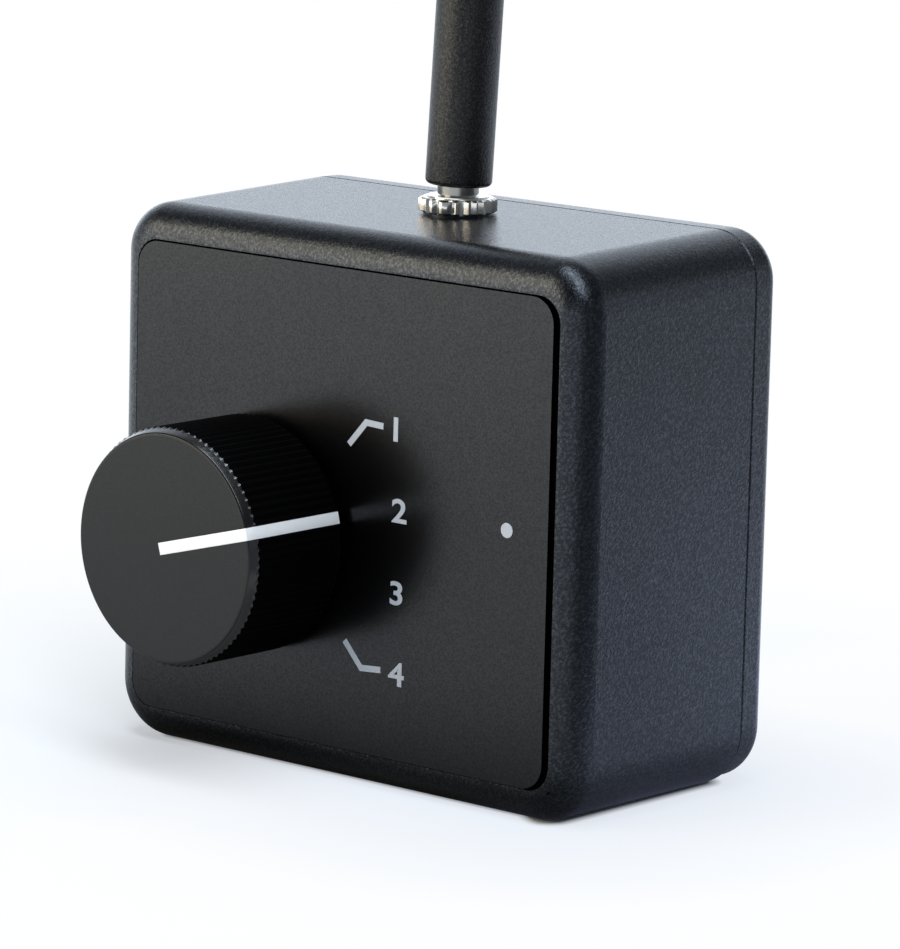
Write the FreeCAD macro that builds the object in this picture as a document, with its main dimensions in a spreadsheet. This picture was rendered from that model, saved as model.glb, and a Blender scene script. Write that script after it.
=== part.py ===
import FreeCAD
import Part
import math
import os
import Sketcher

Vector = FreeCAD.Vector
Rotation = FreeCAD.Rotation
Placement = FreeCAD.Placement

# Driving sizes of the selector box: millimetres, degrees and counts.
# "Depth" runs from the flat front plane of the box towards its back.
SIZES = {
    # moulded box
    "box_width": 60.0,
    "box_height": 54.0,
    "box_depth": 29.3,
    "corner_radius": 5.0,
    "lower_corner_radius": 5.8,
    "edge_radius": 3.3,
    "side_draft": 0.6,
    "top_draft": 1.7,
    "side_wall": 2.0,
    "front_wall": 2.6,
    "seam_chamfer": 0.15,
    # rear cover and its screws
    "cover_depth": 3.6,
    "cover_plate": 2.2,
    "cover_edge_radius": 1.5,
    "cover_rise": 0.3,
    "tongue_height": 1.6,
    "tongue_wall": 1.0,
    "tongue_gap": 0.15,
    "boss_radius": 3.15,
    "boss_inset": 5.0,
    "post_radius": 2.7,
    "boss_gap": 0.1,
    "screw_radius": 1.3,
    "screw_head_radius": 2.4,
    "screw_length": 10.0,
    "screw_gap": 0.15,
    "pilot_radius": 1.32,
    "pilot_depth": 9.0,
    "drive_length": 2.6,
    "drive_width": 0.6,
    "drive_depth": 0.8,
    # front label in its recess
    "label_side_margin": 2.85,
    "label_end_margin": 3.35,
    "label_recess": 0.6,
    "label_recess_corner": 2.6,
    "label_thickness": 0.55,
    "label_gap": 0.05,
    "label_gap_above": 0.2,
    "label_gap_right": 0.85,
    # selector axis
    "selector_left": 10.2,
    "selector_height": 23.4,
    "rest_angle": 15.0,
    "detent_step": 30.0,
    "detent_count": 12,
    "steps_back": 1,
    "steps_forward": 2,
    # knob
    "knob_radius": 11.7,
    "knob_standoff": 0.9,
    "knob_length": 12.7,
    "knob_face_radius": 11.1,
    "knob_face_chamfer": 0.75,
    "knob_back_chamfer": 0.3,
    "knob_back_radius": 7.6,
    "knob_back_depth": 4.2,
    "knob_front_wall": 1.6,
    "knurl_count": 90,
    "knurl_depth": 0.22,
    "pointer_width": 1.2,
    "pointer_depth": 0.35,
    "set_screw_radius": 1.5,
    "set_screw_length": 6.0,
    "set_screw_depth": 7.9,
    "hex_key_radius": 0.87,
    "hex_key_depth": 1.5,
    # rotary switch
    "shaft_radius": 3.0,
    "shaft_gap": 0.05,
    "shaft_flat": 2.5,
    "shaft_flat_length": 6.4,
    "bushing_radius": 4.5,
    "bushing_length": 6.0,
    "bushing_gap": 0.1,
    "thread_gap": 0.05,
    "washer_radius": 6.5,
    "washer_thickness": 0.5,
    "washer_tooth": 0.6,
    "washer_teeth": 16,
    "nut_flats": 11.0,
    "nut_thickness": 2.0,
    "nut_bevel": 0.5,
    "clip_radius": 4.4,
    "clip_thickness": 0.5,
    "clip_mouth": 1.7,
    "groove_depth": 0.5,
    "plate_thickness": 1.5,
    "switch_radius": 12.5,
    "cup_length": 6.5,
    "cup_wall": 1.5,
    "ring_radius": 8.8,
    "ring_length": 2.5,
    "ring_gap": 0.05,
    "notch_radius": 0.9,
    "notch_centre": 8.1,
    "ball_radius": 0.8,
    "ball_clearance": 0.05,
    "arm_width": 3.4,
    "arm_reach": 8.0,
    "spring_seat": 4.7,
    "spring_wire": 0.12,
    "spring_radius": 0.6,
    "spring_turns": 7,
    "hub_radius": 4.5,
    "disc_radius": 10.2,
    "disc_thickness": 2.0,
    "running_gap": 0.2,
    "stop_lug_angle": 20.0,
    "stop_lug_height": 0.5,
    "stop_gap_angle": 1.0,
    "stop_block_angle": 12.0,
    "base_thickness": 1.6,
    "wiper_width": 1.6,
    "wiper_sheet": 0.25,
    "wiper_foot": 0.6,
    "wiper_tip": 0.3,
    "contact_gap": 0.05,
    "common_track": 5.2,
    "position_track": 8.4,
    "track_width": 1.26,
    "track_end_angle": 10.0,
    "contact_radius": 0.9,
    "contact_thickness": 0.5,
    "pin_radius": 0.4,
    "pin_gap": 0.03,
    "pin_length": 4.4,
    # circuit board
    "board_width": 23.0,
    "board_height": 25.0,
    "board_thickness": 1.6,
    "board_hole": 0.5,
    "resistor_radius": 1.15,
    "resistor_length": 6.3,
    "resistor_pitch": 8.4,
    "resistor_spacing": 3.6,
    "resistor_count": 4,
    "wire_hole_side": 1.5,
    "wire_hole_low": 2.5,
    "lead_radius": 0.3,
    # panel jack
    "jack_right": 0.5,
    "jack_depth": 16.2,
    "seat_radius": 3.4,
    "seat_rise": 0.15,
    "seat_root": 0.5,
    "jack_thread_radius": 3.0,
    "jack_bore": 1.8,
    "jack_end": 1.66,
    "jack_flange_radius": 4.2,
    "jack_flange": 1.0,
    "jack_nut_radius": 3.9,
    "jack_nut_height": 1.5,
    "jack_nut_teeth": 29,
    "jack_nut_tooth": 0.45,
    "jack_nut_chamfer": 0.3,
    "jack_nut_foot": 0.3,
    "jack_frame_width": 8.6,
    "jack_frame_length": 10.6,
    "jack_frame_bore": 2.3,
    "leaf_thickness": 0.3,
    "leaf_width": 2.4,
    "leaf_slot": 0.1,
    "leaf_run": 2.1,
    "leaf_lip": 1.0,
    "leaf_flat": 0.1,
    "window_low": 1.2,
    "window_high": 1.0,
    "lug_length": 2.6,
    "lug_width": 1.8,
    # plug
    "plug_radius": 1.75,
    "plug_gap": 0.13,
    "plug_collar_radius": 2.05,
    "plug_collar": 0.79,
    "plug_sleeve": 7.0,
    "plug_insulator": 0.7,
    "plug_ring": 1.9,
    "plug_tip": 3.7,
    "plug_core": 0.75,
    "plug_tube": 1.25,
    "plug_stem_radius": 2.0,
    "plug_stem": 4.5,
    "grip_radius": 3.29,
    "grip_length": 21.0,
    "grip_edge": 0.55,
    "grip_neck_radius": 2.7,
    "grip_neck_length": 2.5,
    "grip_gap": 0.1,
    "grip_lean": 2.2,
    "grip_heading": 40.0,
    "cord_hole": 1.5,
    # hook-up wires
    "wire_radius": 0.55,
    "wire_pitch": 2.5,
    "wire_loop": 8.4,
    "wire_slack": 6.35,
    "wire_straight": 5.0,
}

document = FreeCAD.newDocument("selector_box")


class Size:
    """A length, angle or count with its value now and its expression in the sheet."""

    def __init__(self, value, text):
        self.value = float(value)
        self.text = text

    @staticmethod
    def of(item):
        return item if isinstance(item, Size) else Size(item, repr(float(item)))

    def join(self, sign, other, value):
        return Size(value, f"({self.text} {sign} {other.text})")

    def __add__(self, other):
        other = Size.of(other)
        return self.join("+", other, self.value + other.value)

    def __radd__(self, other):
        return Size.of(other) + self

    def __sub__(self, other):
        other = Size.of(other)
        return self.join("-", other, self.value - other.value)

    def __rsub__(self, other):
        return Size.of(other) - self

    def __mul__(self, other):
        other = Size.of(other)
        return self.join("*", other, self.value * other.value)

    def __rmul__(self, other):
        return Size.of(other) * self

    def __truediv__(self, other):
        other = Size.of(other)
        return self.join("/", other, self.value / other.value)

    def __neg__(self):
        return Size(-self.value, f"(-1 * {self.text})")

    def tangent(self):
        return Size(math.tan(math.radians(self.value)), f"tan({self.text})")


class Sheet:
    """The document's spreadsheet, one row for each driving size."""

    def __init__(self):
        self.cells = document.addObject("Spreadsheet::Sheet", "Sizes")
        for row, (name, number) in enumerate(SIZES.items(), start=1):
            self.cells.set(f"A{row}", name)
            self.cells.set(f"B{row}", repr(number))
            self.cells.setAlias(f"B{row}", name)
        document.recompute()

    def __getattr__(self, name):
        return Size(self.cells.getPropertyByName(name), f"Sizes.{name}")


S = Sheet()

# Sizes worked out from the driving ones. A depth counts from the front plane inwards.
knob_front = S.knob_standoff + S.knob_length
front_y = (knob_front - S.box_depth) / 2
shell_depth = S.box_depth - S.cover_depth
back_width = S.box_width + 2 * shell_depth * S.side_draft.tangent()
back_height = S.box_height + shell_depth * S.top_draft.tangent()
inner_side = S.box_width / 2 - S.side_wall
inner_top = S.box_height - S.side_wall
seat_height = S.box_height + S.jack_depth * S.top_draft.tangent() + S.seat_rise
jack_wall = seat_height - inner_top
label_face = S.label_recess - S.label_thickness
washer_front = label_face - S.washer_thickness
plate_back = S.front_wall + S.plate_thickness
ball_depth = plate_back + S.ring_length / 2
ball_centre = S.ring_radius - S.ball_clearance - S.ball_radius
cup_back = plate_back + S.cup_length
cup_bore = S.switch_radius - S.cup_wall
base_back = cup_back + S.base_thickness
board_back = base_back + S.board_thickness
arm_front = plate_back + S.running_gap
disc_front = plate_back + S.ring_length + 2 * S.running_gap
disc_back = disc_front + S.disc_thickness
bushing_end = S.bushing_length - S.front_wall
boss_back = shell_depth - S.tongue_height - S.boss_gap
tray_floor = S.box_depth - S.cover_plate
shaft_top = knob_front - S.knob_front_wall - S.shaft_gap
collar_low = S.jack_end + S.plug_gap
collar_high = collar_low + S.plug_collar
sleeve_end = collar_low - S.plug_sleeve
ring_high = sleeve_end - S.plug_insulator
ring_low = ring_high - S.plug_ring
tip_high = ring_low - S.plug_insulator
frame_high = -jack_wall - S.jack_flange - S.leaf_thickness
frame_low = frame_high - S.jack_frame_length
lug_end = frame_low - S.lug_length


def number(item):
    """The plain value of a size or a number."""
    return item.value if isinstance(item, Size) else float(item)


def bind(thing, field, item):
    """Ties one property of an object to the sheet where its value comes from there."""
    if isinstance(item, Size):
        thing.setExpression(field, item.text)


def place(thing, x=0, y=0, z=0, turn=None):
    """Puts an object at a place worked out from the sheet, and turns it."""
    spot = Vector(number(x), number(y), number(z))
    thing.Placement = Placement(spot, turn or Rotation())
    for letter, item in (("x", x), ("y", y), ("z", z)):
        bind(thing, f"Placement.Base.{letter}", item)
    return thing


FACING_FRONT = Rotation(Vector(1, 0, 0), 90)


def place_on_front(thing):
    """Local X runs right, local Y up and local Z out of the box's front plane."""
    return place(thing, 0, front_y, 0, FACING_FRONT)


def place_on_selector(thing):
    """As on the front plane, with the origin on the selector's axis."""
    return place(thing, -S.selector_left, front_y, S.selector_height, FACING_FRONT)


def place_on_jack(thing):
    """Local Z runs up the jack's axis from the flat that its nut sits on."""
    return place(thing, S.jack_right, front_y + S.jack_depth, seat_height)


def place_turned(thing):
    """On the selector's axis, with local X along the pointer at rest."""
    turn = FACING_FRONT.multiply(Rotation(Vector(0, 0, 1), S.rest_angle.value))
    return place(thing, -S.selector_left, front_y, S.selector_height, turn)


def selector_placement(angle=0.0):
    """The same place as a value, turned about the selector's axis, for plain shapes."""
    spot = Vector(-number(S.selector_left), number(front_y), number(S.selector_height))
    return Placement(spot, FACING_FRONT) * Placement(Vector(), Rotation(Vector(0, 0, 1), angle))


def front_placement():
    """The front plane's place as a value, for plain shapes."""
    return Placement(Vector(0, number(front_y), 0), FACING_FRONT)


def jack_placement():
    """The jack's place as a value, for plain shapes."""
    return Placement(
        Vector(number(S.jack_right), number(front_y + S.jack_depth), number(seat_height)),
        Rotation(),
    )


class Body:
    """A PartDesign body whose sketches and features take their sizes from the sheet."""

    def __init__(self, label):
        self.item = document.addObject("PartDesign::Body", label)
        self.item.Label = label
        self.count = 0

    def plane(self, role):
        features = self.item.Origin.OriginFeatures
        return [feature for feature in features if feature.Role == role][0]

    def sketch(self, plane="XY_Plane", offset=0):
        self.count += 1
        sketch = self.item.newObject("Sketcher::SketchObject", f"{self.item.Label}_sketch_{self.count}")
        sketch.AttachmentSupport = [(self.plane(plane), "")]
        sketch.MapMode = "FlatFace"
        sketch.AttachmentOffset = Placement(Vector(0, 0, number(offset)), Rotation())
        bind(sketch, "AttachmentOffset.Base.z", offset)
        return sketch

    def feature(self, kind, **fields):
        self.count += 1
        made = self.item.newObject(f"PartDesign::{kind}", f"{self.item.Label}_{kind.lower()}_{self.count}")
        for field, item in fields.items():
            setattr(made, field, number(item) if isinstance(item, Size) else item)
            bind(made, field, item)
        document.recompute()
        return made

    def pad(self, sketch, length, down=False):
        return self.feature("Pad", Profile=sketch, Length=length, Reversed=down)

    def pocket(self, sketch, length, up=False):
        """Cuts below the sketch, or above it, and makes sure that it has cut."""
        before = self.item.Shape.Volume
        made = self.feature("Pocket", Profile=sketch, Length=length, Reversed=up)
        if made.Shape.Volume > before - 1e-6:
            raise ValueError(f"{made.Label} cuts nothing")
        return made

    def turned(self, points):
        """A ring or rod turned about local Z from its radius and height points."""
        sketch = self.sketch("XZ_Plane")
        polygon(sketch, points)
        self.feature("Revolution", Profile=sketch, ReferenceAxis=(sketch, ["V_Axis"]), Angle=360.0)
        return self

    def groove(self, points):
        """Cuts a groove turned about local Z from its radius and height points."""
        sketch = self.sketch("XZ_Plane")
        polygon(sketch, points)
        self.feature("Groove", Profile=sketch, ReferenceAxis=(sketch, ["V_Axis"]), Angle=360.0)

    def strip(self, points, width):
        """Pads an outline of radius and height points by half a width to each side."""
        sketch = self.sketch("XZ_Plane")
        polygon(sketch, points)
        self.feature("Pad", Profile=sketch, Length=width, SideType="Symmetric")

    def disc(self, radius, low, high, bore=None):
        """Adds a cylinder or a ring on local Z between two heights."""
        sketch = self.sketch(offset=low)
        circle(sketch, 0, 0, radius)
        if bore is not None:
            circle(sketch, 0, 0, bore)
        self.pad(sketch, high - low)

    def block(self, left, right, near, far, low, high):
        """Adds a box between two heights."""
        sketch = self.sketch(offset=low)
        rectangle(sketch, left, right, near, far)
        self.pad(sketch, high - low)

    def drill(self, spots, radius, low, high):
        """Cuts round holes between two heights."""
        sketch = self.sketch(offset=high)
        for x, y in spots:
            circle(sketch, x, y, radius)
        self.pocket(sketch, high - low)

    def slot(self, left, right, near, far, low, high):
        """Cuts a box between two heights."""
        sketch = self.sketch(offset=high)
        rectangle(sketch, left, right, near, far)
        self.pocket(sketch, high - low)

    def dress(self, kind, names, **fields):
        """A fillet, chamfer or draft on named edges or faces of the newest feature."""
        return self.feature(kind, Base=(self.item.Tip, names), **fields)

    def edges(self, chosen):
        found = enumerate(self.item.Tip.Shape.Edges, start=1)
        return [f"Edge{index}" for index, edge in found if chosen(edge)]

    def faces(self, direction):
        """The names of flat faces that look one way."""
        names = []
        for index, face in enumerate(self.item.Tip.Shape.Faces, start=1):
            if face.Surface.TypeId != "Part::GeomPlane":
                continue
            low_u, high_u, low_v, high_v = face.ParameterRange
            looks = face.normalAt((low_u + high_u) / 2, (low_v + high_v) / 2)
            if (looks - direction).Length < 0.01:
                names.append(f"Face{index}")
        return names


def hold(sketch, points):
    """Fixes points of a sketch by their distances from the sketch's origin."""
    constraints = []
    bound = []
    for geometry, end, x, y in points:
        for kind, axis, item in (("DistanceX", -2, x), ("DistanceY", -1, y)):
            if number(item) == 0.0 and not isinstance(item, Size):
                constraints.append(Sketcher.Constraint("PointOnObject", geometry, end, axis))
                continue
            bound.append((len(constraints), item))
            constraints.append(Sketcher.Constraint(kind, -1, 1, geometry, end, number(item)))
    first = sketch.ConstraintCount
    sketch.addConstraint(constraints)
    for index, item in bound:
        bind(sketch, f"Constraints[{first + index}]", item)


def polygon(sketch, points):
    """A closed outline of straight lines through points given by sizes."""
    first = sketch.GeometryCount
    count = len(points)
    spots = [Vector(number(x), number(y), 0) for x, y in points]
    lines = [Part.LineSegment(spots[index], spots[(index + 1) % count]) for index in range(count)]
    sketch.addGeometry(lines, False)
    joints = []
    for index in range(count):
        following = first + (index + 1) % count
        joints.append(Sketcher.Constraint("Coincident", first + index, 2, following, 1))
    sketch.addConstraint(joints)
    hold(sketch, [(first + index, 1, x, y) for index, (x, y) in enumerate(points)])


def rectangle(sketch, left, right, low, high):
    polygon(sketch, [(left, low), (right, low), (right, high), (left, high)])


def circle(sketch, x, y, radius):
    centre = Vector(number(x), number(y), 0)
    index = sketch.addGeometry(Part.Circle(centre, Vector(0, 0, 1), number(radius)), False)
    hold(sketch, [(index, 3, x, y)])
    fixed = sketch.addConstraint(Sketcher.Constraint("Radius", index, number(radius)))
    bind(sketch, f"Constraints[{fixed}]", radius)


def polar_sizes(radius, angle):
    """A point as two sizes, by its distance from local Z and its angle in degrees."""
    turn = math.radians(angle)
    return radius * math.cos(turn), radius * math.sin(turn)


def toothed(sketch, tips, depth, teeth):
    """A closed outline of even V-shaped teeth, drawn at the sheet's values.

    Its many points carry no constraints, because they would slow the solver to a crawl.
    """
    spots = []
    for index in range(2 * int(teeth.value)):
        reach = number(tips if index % 2 == 0 else tips - depth)
        spots.append(polar(reach, (index + 0.5) * 180 / teeth.value))
    lines = [Part.LineSegment(spots[index - 1], spots[index]) for index in range(len(spots))]
    sketch.addGeometry(lines, False)


def hexagon(sketch, x, y, corner_radius):
    corners = [polar_sizes(corner_radius, 60 * index + 30) for index in range(6)]
    polygon(sketch, [(x + right, y + up) for right, up in corners])


def wedge(sketch, inner, outer, start, stop):
    """A piece of a ring between two angles, with one corner half way."""
    angles = (start, (start + stop) / 2, stop)
    polygon(sketch, [polar_sizes(outer, angle) for angle in angles]
            + [polar_sizes(inner, angle) for angle in reversed(angles)])


def along_depth(edge):
    """True for an edge that runs from front to back of a body facing the front."""
    box = edge.BoundBox
    return box.ZLength > 3 * max(box.XLength, box.YLength)


def along_depth_of(length):
    """A test for edges that run straight through one depth."""
    return lambda edge: upright(edge) and abs(edge.BoundBox.ZLength - number(length)) < 1e-4


def above_middle(test):
    """Narrows a test to the edges above the middle of the box's height."""
    middle = number(S.box_height) / 2
    return lambda edge: test(edge) and edge.BoundBox.YMin > middle


def below_middle(test):
    """Narrows a test to the edges below the middle of the box's height."""
    middle = number(S.box_height) / 2
    return lambda edge: test(edge) and edge.BoundBox.YMax < middle


def upright(edge):
    """True for an edge square to the front plane."""
    box = edge.BoundBox
    return box.XLength < 1e-4 and box.YLength < 1e-4 and box.ZLength > 1e-3


def round_rim(edge, radius):
    """True for a full circle of one radius."""
    box = edge.BoundBox
    return len(edge.Vertexes) == 1 and abs(box.XLength - 2 * radius) < 1e-3 and box.ZLength < 1e-3


def at_depth(depth):
    """A test for edges that lie flat at one depth below the front plane."""
    level = -number(depth)
    return lambda edge: abs(edge.BoundBox.ZMin - level) < 1e-4 and abs(edge.BoundBox.ZMax - level) < 1e-4


def part(kind, label, **fields):
    """A Part primitive or boolean with its sizes bound to the sheet."""
    made = document.addObject(f"Part::{kind}", label)
    made.Label = label
    for field, item in fields.items():
        setattr(made, field, number(item) if isinstance(item, Size) else item)
        bind(made, field, item)
    return made


def solid_from(label, shape, placement):
    """A sub-part whose shape is worked out in code from the sheet's values."""
    made = document.addObject("Part::Feature", label)
    made.Label = label
    made.Shape = shape
    made.Placement = placement.multiply(shape.Placement)
    return made


def group_of(label, shapes, placement):
    """Several separate solids of one sub-part, such as four like screws."""
    return solid_from(label, Part.makeCompound(shapes), placement)


def disc(radius, low, high):
    """A plain cylinder on local Z between two heights."""
    return Part.makeCylinder(number(radius), number(high) - number(low), Vector(0, 0, number(low)))


def block(x_low, x_high, y_low, y_high, z_low, z_high):
    """A plain box between two corners."""
    low = Vector(number(x_low), number(y_low), number(z_low))
    high = Vector(number(x_high), number(y_high), number(z_high))
    return Part.makeBox(high.x - low.x, high.y - low.y, high.z - low.z, low)


def turned_shape(points):
    """A ring or rod turned about local Z, as a plain shape."""
    spots = [Vector(number(radius), 0, number(height)) for radius, height in points]
    outline = Part.makePolygon(spots + spots[:1])
    return Part.Face(outline).revolve(Vector(0, 0, 0), Vector(0, 0, 1), 360)


def sector(inner, outer, start, stop, low, high):
    """A piece of a ring between two angles in degrees."""
    span = stop - start
    large = Part.makeCylinder(outer, high - low, Vector(0, 0, low), Vector(0, 0, 1), span)
    small = Part.makeCylinder(inner, high - low + 2, Vector(0, 0, low - 1), Vector(0, 0, 1), 360)
    piece = large.cut(small)
    piece.rotate(Vector(0, 0, 0), Vector(0, 0, 1), start)
    return piece


def polar(radius, angle):
    """A point by its distance from local Z and its angle in degrees."""
    turn = math.radians(angle)
    return Vector(radius * math.cos(turn), radius * math.sin(turn), 0)


def boss_centres():
    """Places of the four cover screws on the front plane, as sizes."""
    side = S.box_width / 2 - S.boss_inset
    low = S.boss_inset
    high = S.box_height - S.boss_inset
    return [(side, low), (-side, low), (side, high), (-side, high)]


# Moulded front shell: drafted box with rounded edges, hollow from the back, with the
# label recess, the selector hole, the jack's seat and hole, and four screw bosses.
def housing():
    body = Body("housing")
    outline = body.sketch()
    rectangle(outline, -S.box_width / 2, S.box_width / 2, 0, S.box_height)
    body.pad(outline, shell_depth, down=True)
    front = (body.plane("XY_Plane"), [""])
    sides = body.faces(Vector(1, 0, 0)) + body.faces(Vector(-1, 0, 0))
    body.dress("Draft", sides, NeutralPlane=front, Angle=S.side_draft)
    body.dress("Draft", body.faces(Vector(0, 1, 0)), NeutralPlane=front, Angle=S.top_draft)
    body.dress("Fillet", body.edges(above_middle(along_depth)), Radius=S.corner_radius)
    body.dress("Fillet", body.edges(below_middle(along_depth)), Radius=S.lower_corner_radius)
    body.dress("Fillet", body.edges(at_depth(0)), Radius=S.edge_radius)
    body.dress("Chamfer", body.edges(at_depth(shell_depth)), Size=S.seam_chamfer)

    hollow = body.sketch(offset=-shell_depth)
    rectangle(hollow, -inner_side, inner_side, S.side_wall, inner_top)
    body.pocket(hollow, shell_depth - S.front_wall, up=True)
    floor = -number(S.front_wall)
    body.dress(
        "Fillet",
        body.edges(lambda edge: along_depth(edge) and abs(edge.BoundBox.ZMax - floor) < 0.01),
        Radius=S.corner_radius - S.side_wall,
    )

    recess = body.sketch()
    side = S.box_width / 2 - S.label_side_margin
    rectangle(recess, -side, side, S.label_end_margin, S.box_height - S.label_end_margin)
    body.pocket(recess, S.label_recess)
    within = number(side) + 0.01
    body.dress(
        "Fillet",
        body.edges(lambda edge: upright_in_recess(edge, within)),
        Radius=S.label_recess_corner,
    )

    opening = body.sketch()
    circle(opening, -S.selector_left, S.selector_height, S.bushing_radius + S.bushing_gap)
    body.pocket(opening, S.front_wall + 1)

    seat = body.sketch("XZ_Plane", offset=-seat_height)
    circle(seat, S.jack_right, -S.jack_depth, S.seat_radius)
    body.pad(seat, S.seat_root)
    hole = body.sketch("XZ_Plane", offset=-seat_height)
    circle(hole, S.jack_right, -S.jack_depth, S.jack_thread_radius + S.thread_gap)
    body.pocket(hole, jack_wall + 1, up=True)

    bosses = body.sketch(offset=-boss_back)
    for x, y in boss_centres():
        circle(bosses, x, y, S.boss_radius)
    body.pad(bosses, boss_back - S.front_wall)
    pilots = body.sketch(offset=-boss_back)
    for x, y in boss_centres():
        circle(pilots, x, y, S.pilot_radius)
    body.pocket(pilots, S.pilot_depth, up=True)
    place_on_front(body.item)


def upright_in_recess(edge, within):
    """True for one of the recess's four short corner edges."""
    box = edge.BoundBox
    upright = box.XLength < 1e-6 and box.YLength < 1e-6
    shallow = box.ZMin > -number(S.label_recess) - 1e-4
    return upright and shallow and abs(abs(box.XMin) - within) < 0.02


# Rear cover: a shallow tray that stands clear of the floor, with a tongue that enters the
# shell, four posts that meet the bosses, and countersunk screw holes.
def rear_cover():
    body = Body("rear_cover")
    outline = body.sketch(offset=-shell_depth)
    rectangle(outline, -back_width / 2, back_width / 2, S.cover_rise, back_height)
    body.pad(outline, S.cover_depth, down=True)
    corners = along_depth_of(S.cover_depth)
    body.dress("Fillet", body.edges(above_middle(corners)), Radius=S.corner_radius)
    body.dress("Fillet", body.edges(below_middle(corners)), Radius=S.lower_corner_radius)
    body.dress("Fillet", body.edges(at_depth(S.box_depth)), Radius=S.cover_edge_radius)
    body.dress("Chamfer", body.edges(at_depth(shell_depth)), Size=S.seam_chamfer)

    tongue = body.sketch(offset=-shell_depth)
    gap = S.tongue_gap
    rectangle(tongue, -inner_side + gap, inner_side - gap, S.side_wall + gap, inner_top - gap)
    body.pad(tongue, S.tongue_height)
    above_seam = -number(shell_depth) - 1e-4
    body.dress(
        "Fillet",
        body.edges(lambda edge: upright(edge) and edge.BoundBox.ZMin > above_seam),
        Radius=S.corner_radius - S.side_wall - gap,
    )

    tray = body.sketch(offset=-shell_depth + S.tongue_height)
    inset = gap + S.tongue_wall
    rectangle(tray, -inner_side + inset, inner_side - inset, S.side_wall + inset, inner_top - inset)
    body.pocket(tray, S.tongue_height + S.cover_depth - S.cover_plate)

    posts = body.sketch(offset=-tray_floor)
    for x, y in boss_centres():
        circle(posts, x, y, S.post_radius)
    body.pad(posts, S.tongue_height + S.cover_depth - S.cover_plate)
    holes = body.sketch(offset=-shell_depth + S.tongue_height)
    for x, y in boss_centres():
        circle(holes, x, y, S.screw_radius + S.screw_gap)
    body.pocket(holes, S.tongue_height + S.cover_depth + 1)
    bore = number(S.screw_radius + S.screw_gap)
    back = -number(S.box_depth)
    body.dress(
        "Chamfer",
        body.edges(lambda edge: round_rim(edge, bore) and abs(edge.BoundBox.ZMin - back) < 1e-4),
        Size=S.screw_head_radius - S.screw_radius,
    )
    place_on_front(body.item)


# Four countersunk cover screws with cross recesses, tips towards the front.
def cover_screws():
    head = number(S.screw_head_radius)
    shank = number(S.screw_radius)
    length = number(S.screw_length)
    cone = head - shank
    screw = turned_shape([
        (0, 0), (head, 0), (shank, cone), (shank, length - shank), (0, length),
    ])
    half_long = number(S.drive_length) / 2
    half_wide = number(S.drive_width) / 2
    deep = number(S.drive_depth)
    screw = screw.cut(block(-half_long, half_long, -half_wide, half_wide, -1, deep))
    screw = screw.cut(block(-half_wide, half_wide, -half_long, half_long, -1, deep))
    screws = []
    for x, y in boss_centres():
        copy = screw.copy()
        copy.translate(Vector(number(x), number(y), -number(S.box_depth) + number(S.tongue_gap)))
        screws.append(copy)
    group_of("cover_screws", screws, front_placement())


# Thin plastic overlay against the left and lower walls of its recess, with a wider gap
# on its right and a narrow one above it.
def front_label():
    body = Body("front_label")
    outline = body.sketch(offset=-S.label_recess)
    side = S.box_width / 2 - S.label_side_margin
    low = S.label_end_margin + S.label_gap
    high = S.box_height - S.label_end_margin - S.label_gap_above
    rectangle(outline, S.label_gap - side, side - S.label_gap_right, low, high)
    body.pad(outline, S.label_thickness)
    body.dress("Fillet", body.edges(upright), Radius=S.label_recess_corner - S.label_gap)
    opening = body.sketch(offset=-label_face)
    circle(opening, -S.selector_left, S.selector_height, S.bushing_radius + S.bushing_gap)
    body.pocket(opening, S.label_thickness + 1)
    place_on_front(body.item)


# Turned aluminium knob with a fine straight knurl and a steep bevel round its face, a
# hollow back that clears the nut, a blind bore, a set screw hole and a pointer slot.
def knob():
    body = Body("knob")
    radius = S.knob_radius
    root = radius - S.knurl_depth
    low = S.knob_standoff
    outline = body.sketch(offset=low)
    toothed(outline, radius, S.knurl_depth, S.knurl_count)
    body.pad(outline, S.knob_length)
    bevel = knob_front - S.knob_face_chamfer
    body.groove([
        (S.knob_face_radius, knob_front), (root, bevel), (radius + 1, bevel - S.knurl_depth - 1),
        (radius + 1, knob_front),
    ])
    back = S.knob_back_chamfer
    body.groove([(radius - back, low), (radius + 1, low + back + 1), (radius + 1, low)])
    body.drill([(0, 0)], S.knob_back_radius, low, low + S.knob_back_depth)
    body.drill([(0, 0)], S.shaft_radius + S.thread_gap, low, knob_front - S.knob_front_wall)
    past = -S.pointer_width / 2
    under = knob_front - S.pointer_depth
    behind = root - S.pointer_depth
    slot = body.sketch("XZ_Plane")
    polygon(slot, [
        (past, under), (behind, under), (behind, low), (radius + 1, low),
        (radius + 1, knob_front), (past, knob_front),
    ])
    body.feature("Pocket", Profile=slot, Length=S.pointer_width, SideType="Symmetric")
    hole = body.sketch("YZ_Plane")
    circle(hole, 0, low + S.set_screw_depth, S.set_screw_radius + S.thread_gap)
    body.pocket(hole, radius + 1)
    place_turned(body.item)


# White line let into the face and side of the knob.
def pointer_line():
    body = Body("pointer_line")
    past = -S.pointer_width / 2
    root = S.knob_radius - S.knurl_depth
    outer = S.knob_radius - S.knurl_depth / 2
    low = S.knob_standoff
    bevel = knob_front - S.knob_face_chamfer
    under = knob_front - S.pointer_depth
    body.strip([
        (past, under), (root - S.pointer_depth, under), (root - S.pointer_depth, low),
        (outer - S.knob_back_chamfer, low), (outer, low + S.knob_back_chamfer),
        (outer, bevel - S.knurl_depth / 2), (root, bevel), (S.knob_face_radius, knob_front),
        (past, knob_front),
    ], S.pointer_width)
    place_turned(body.item)


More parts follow.
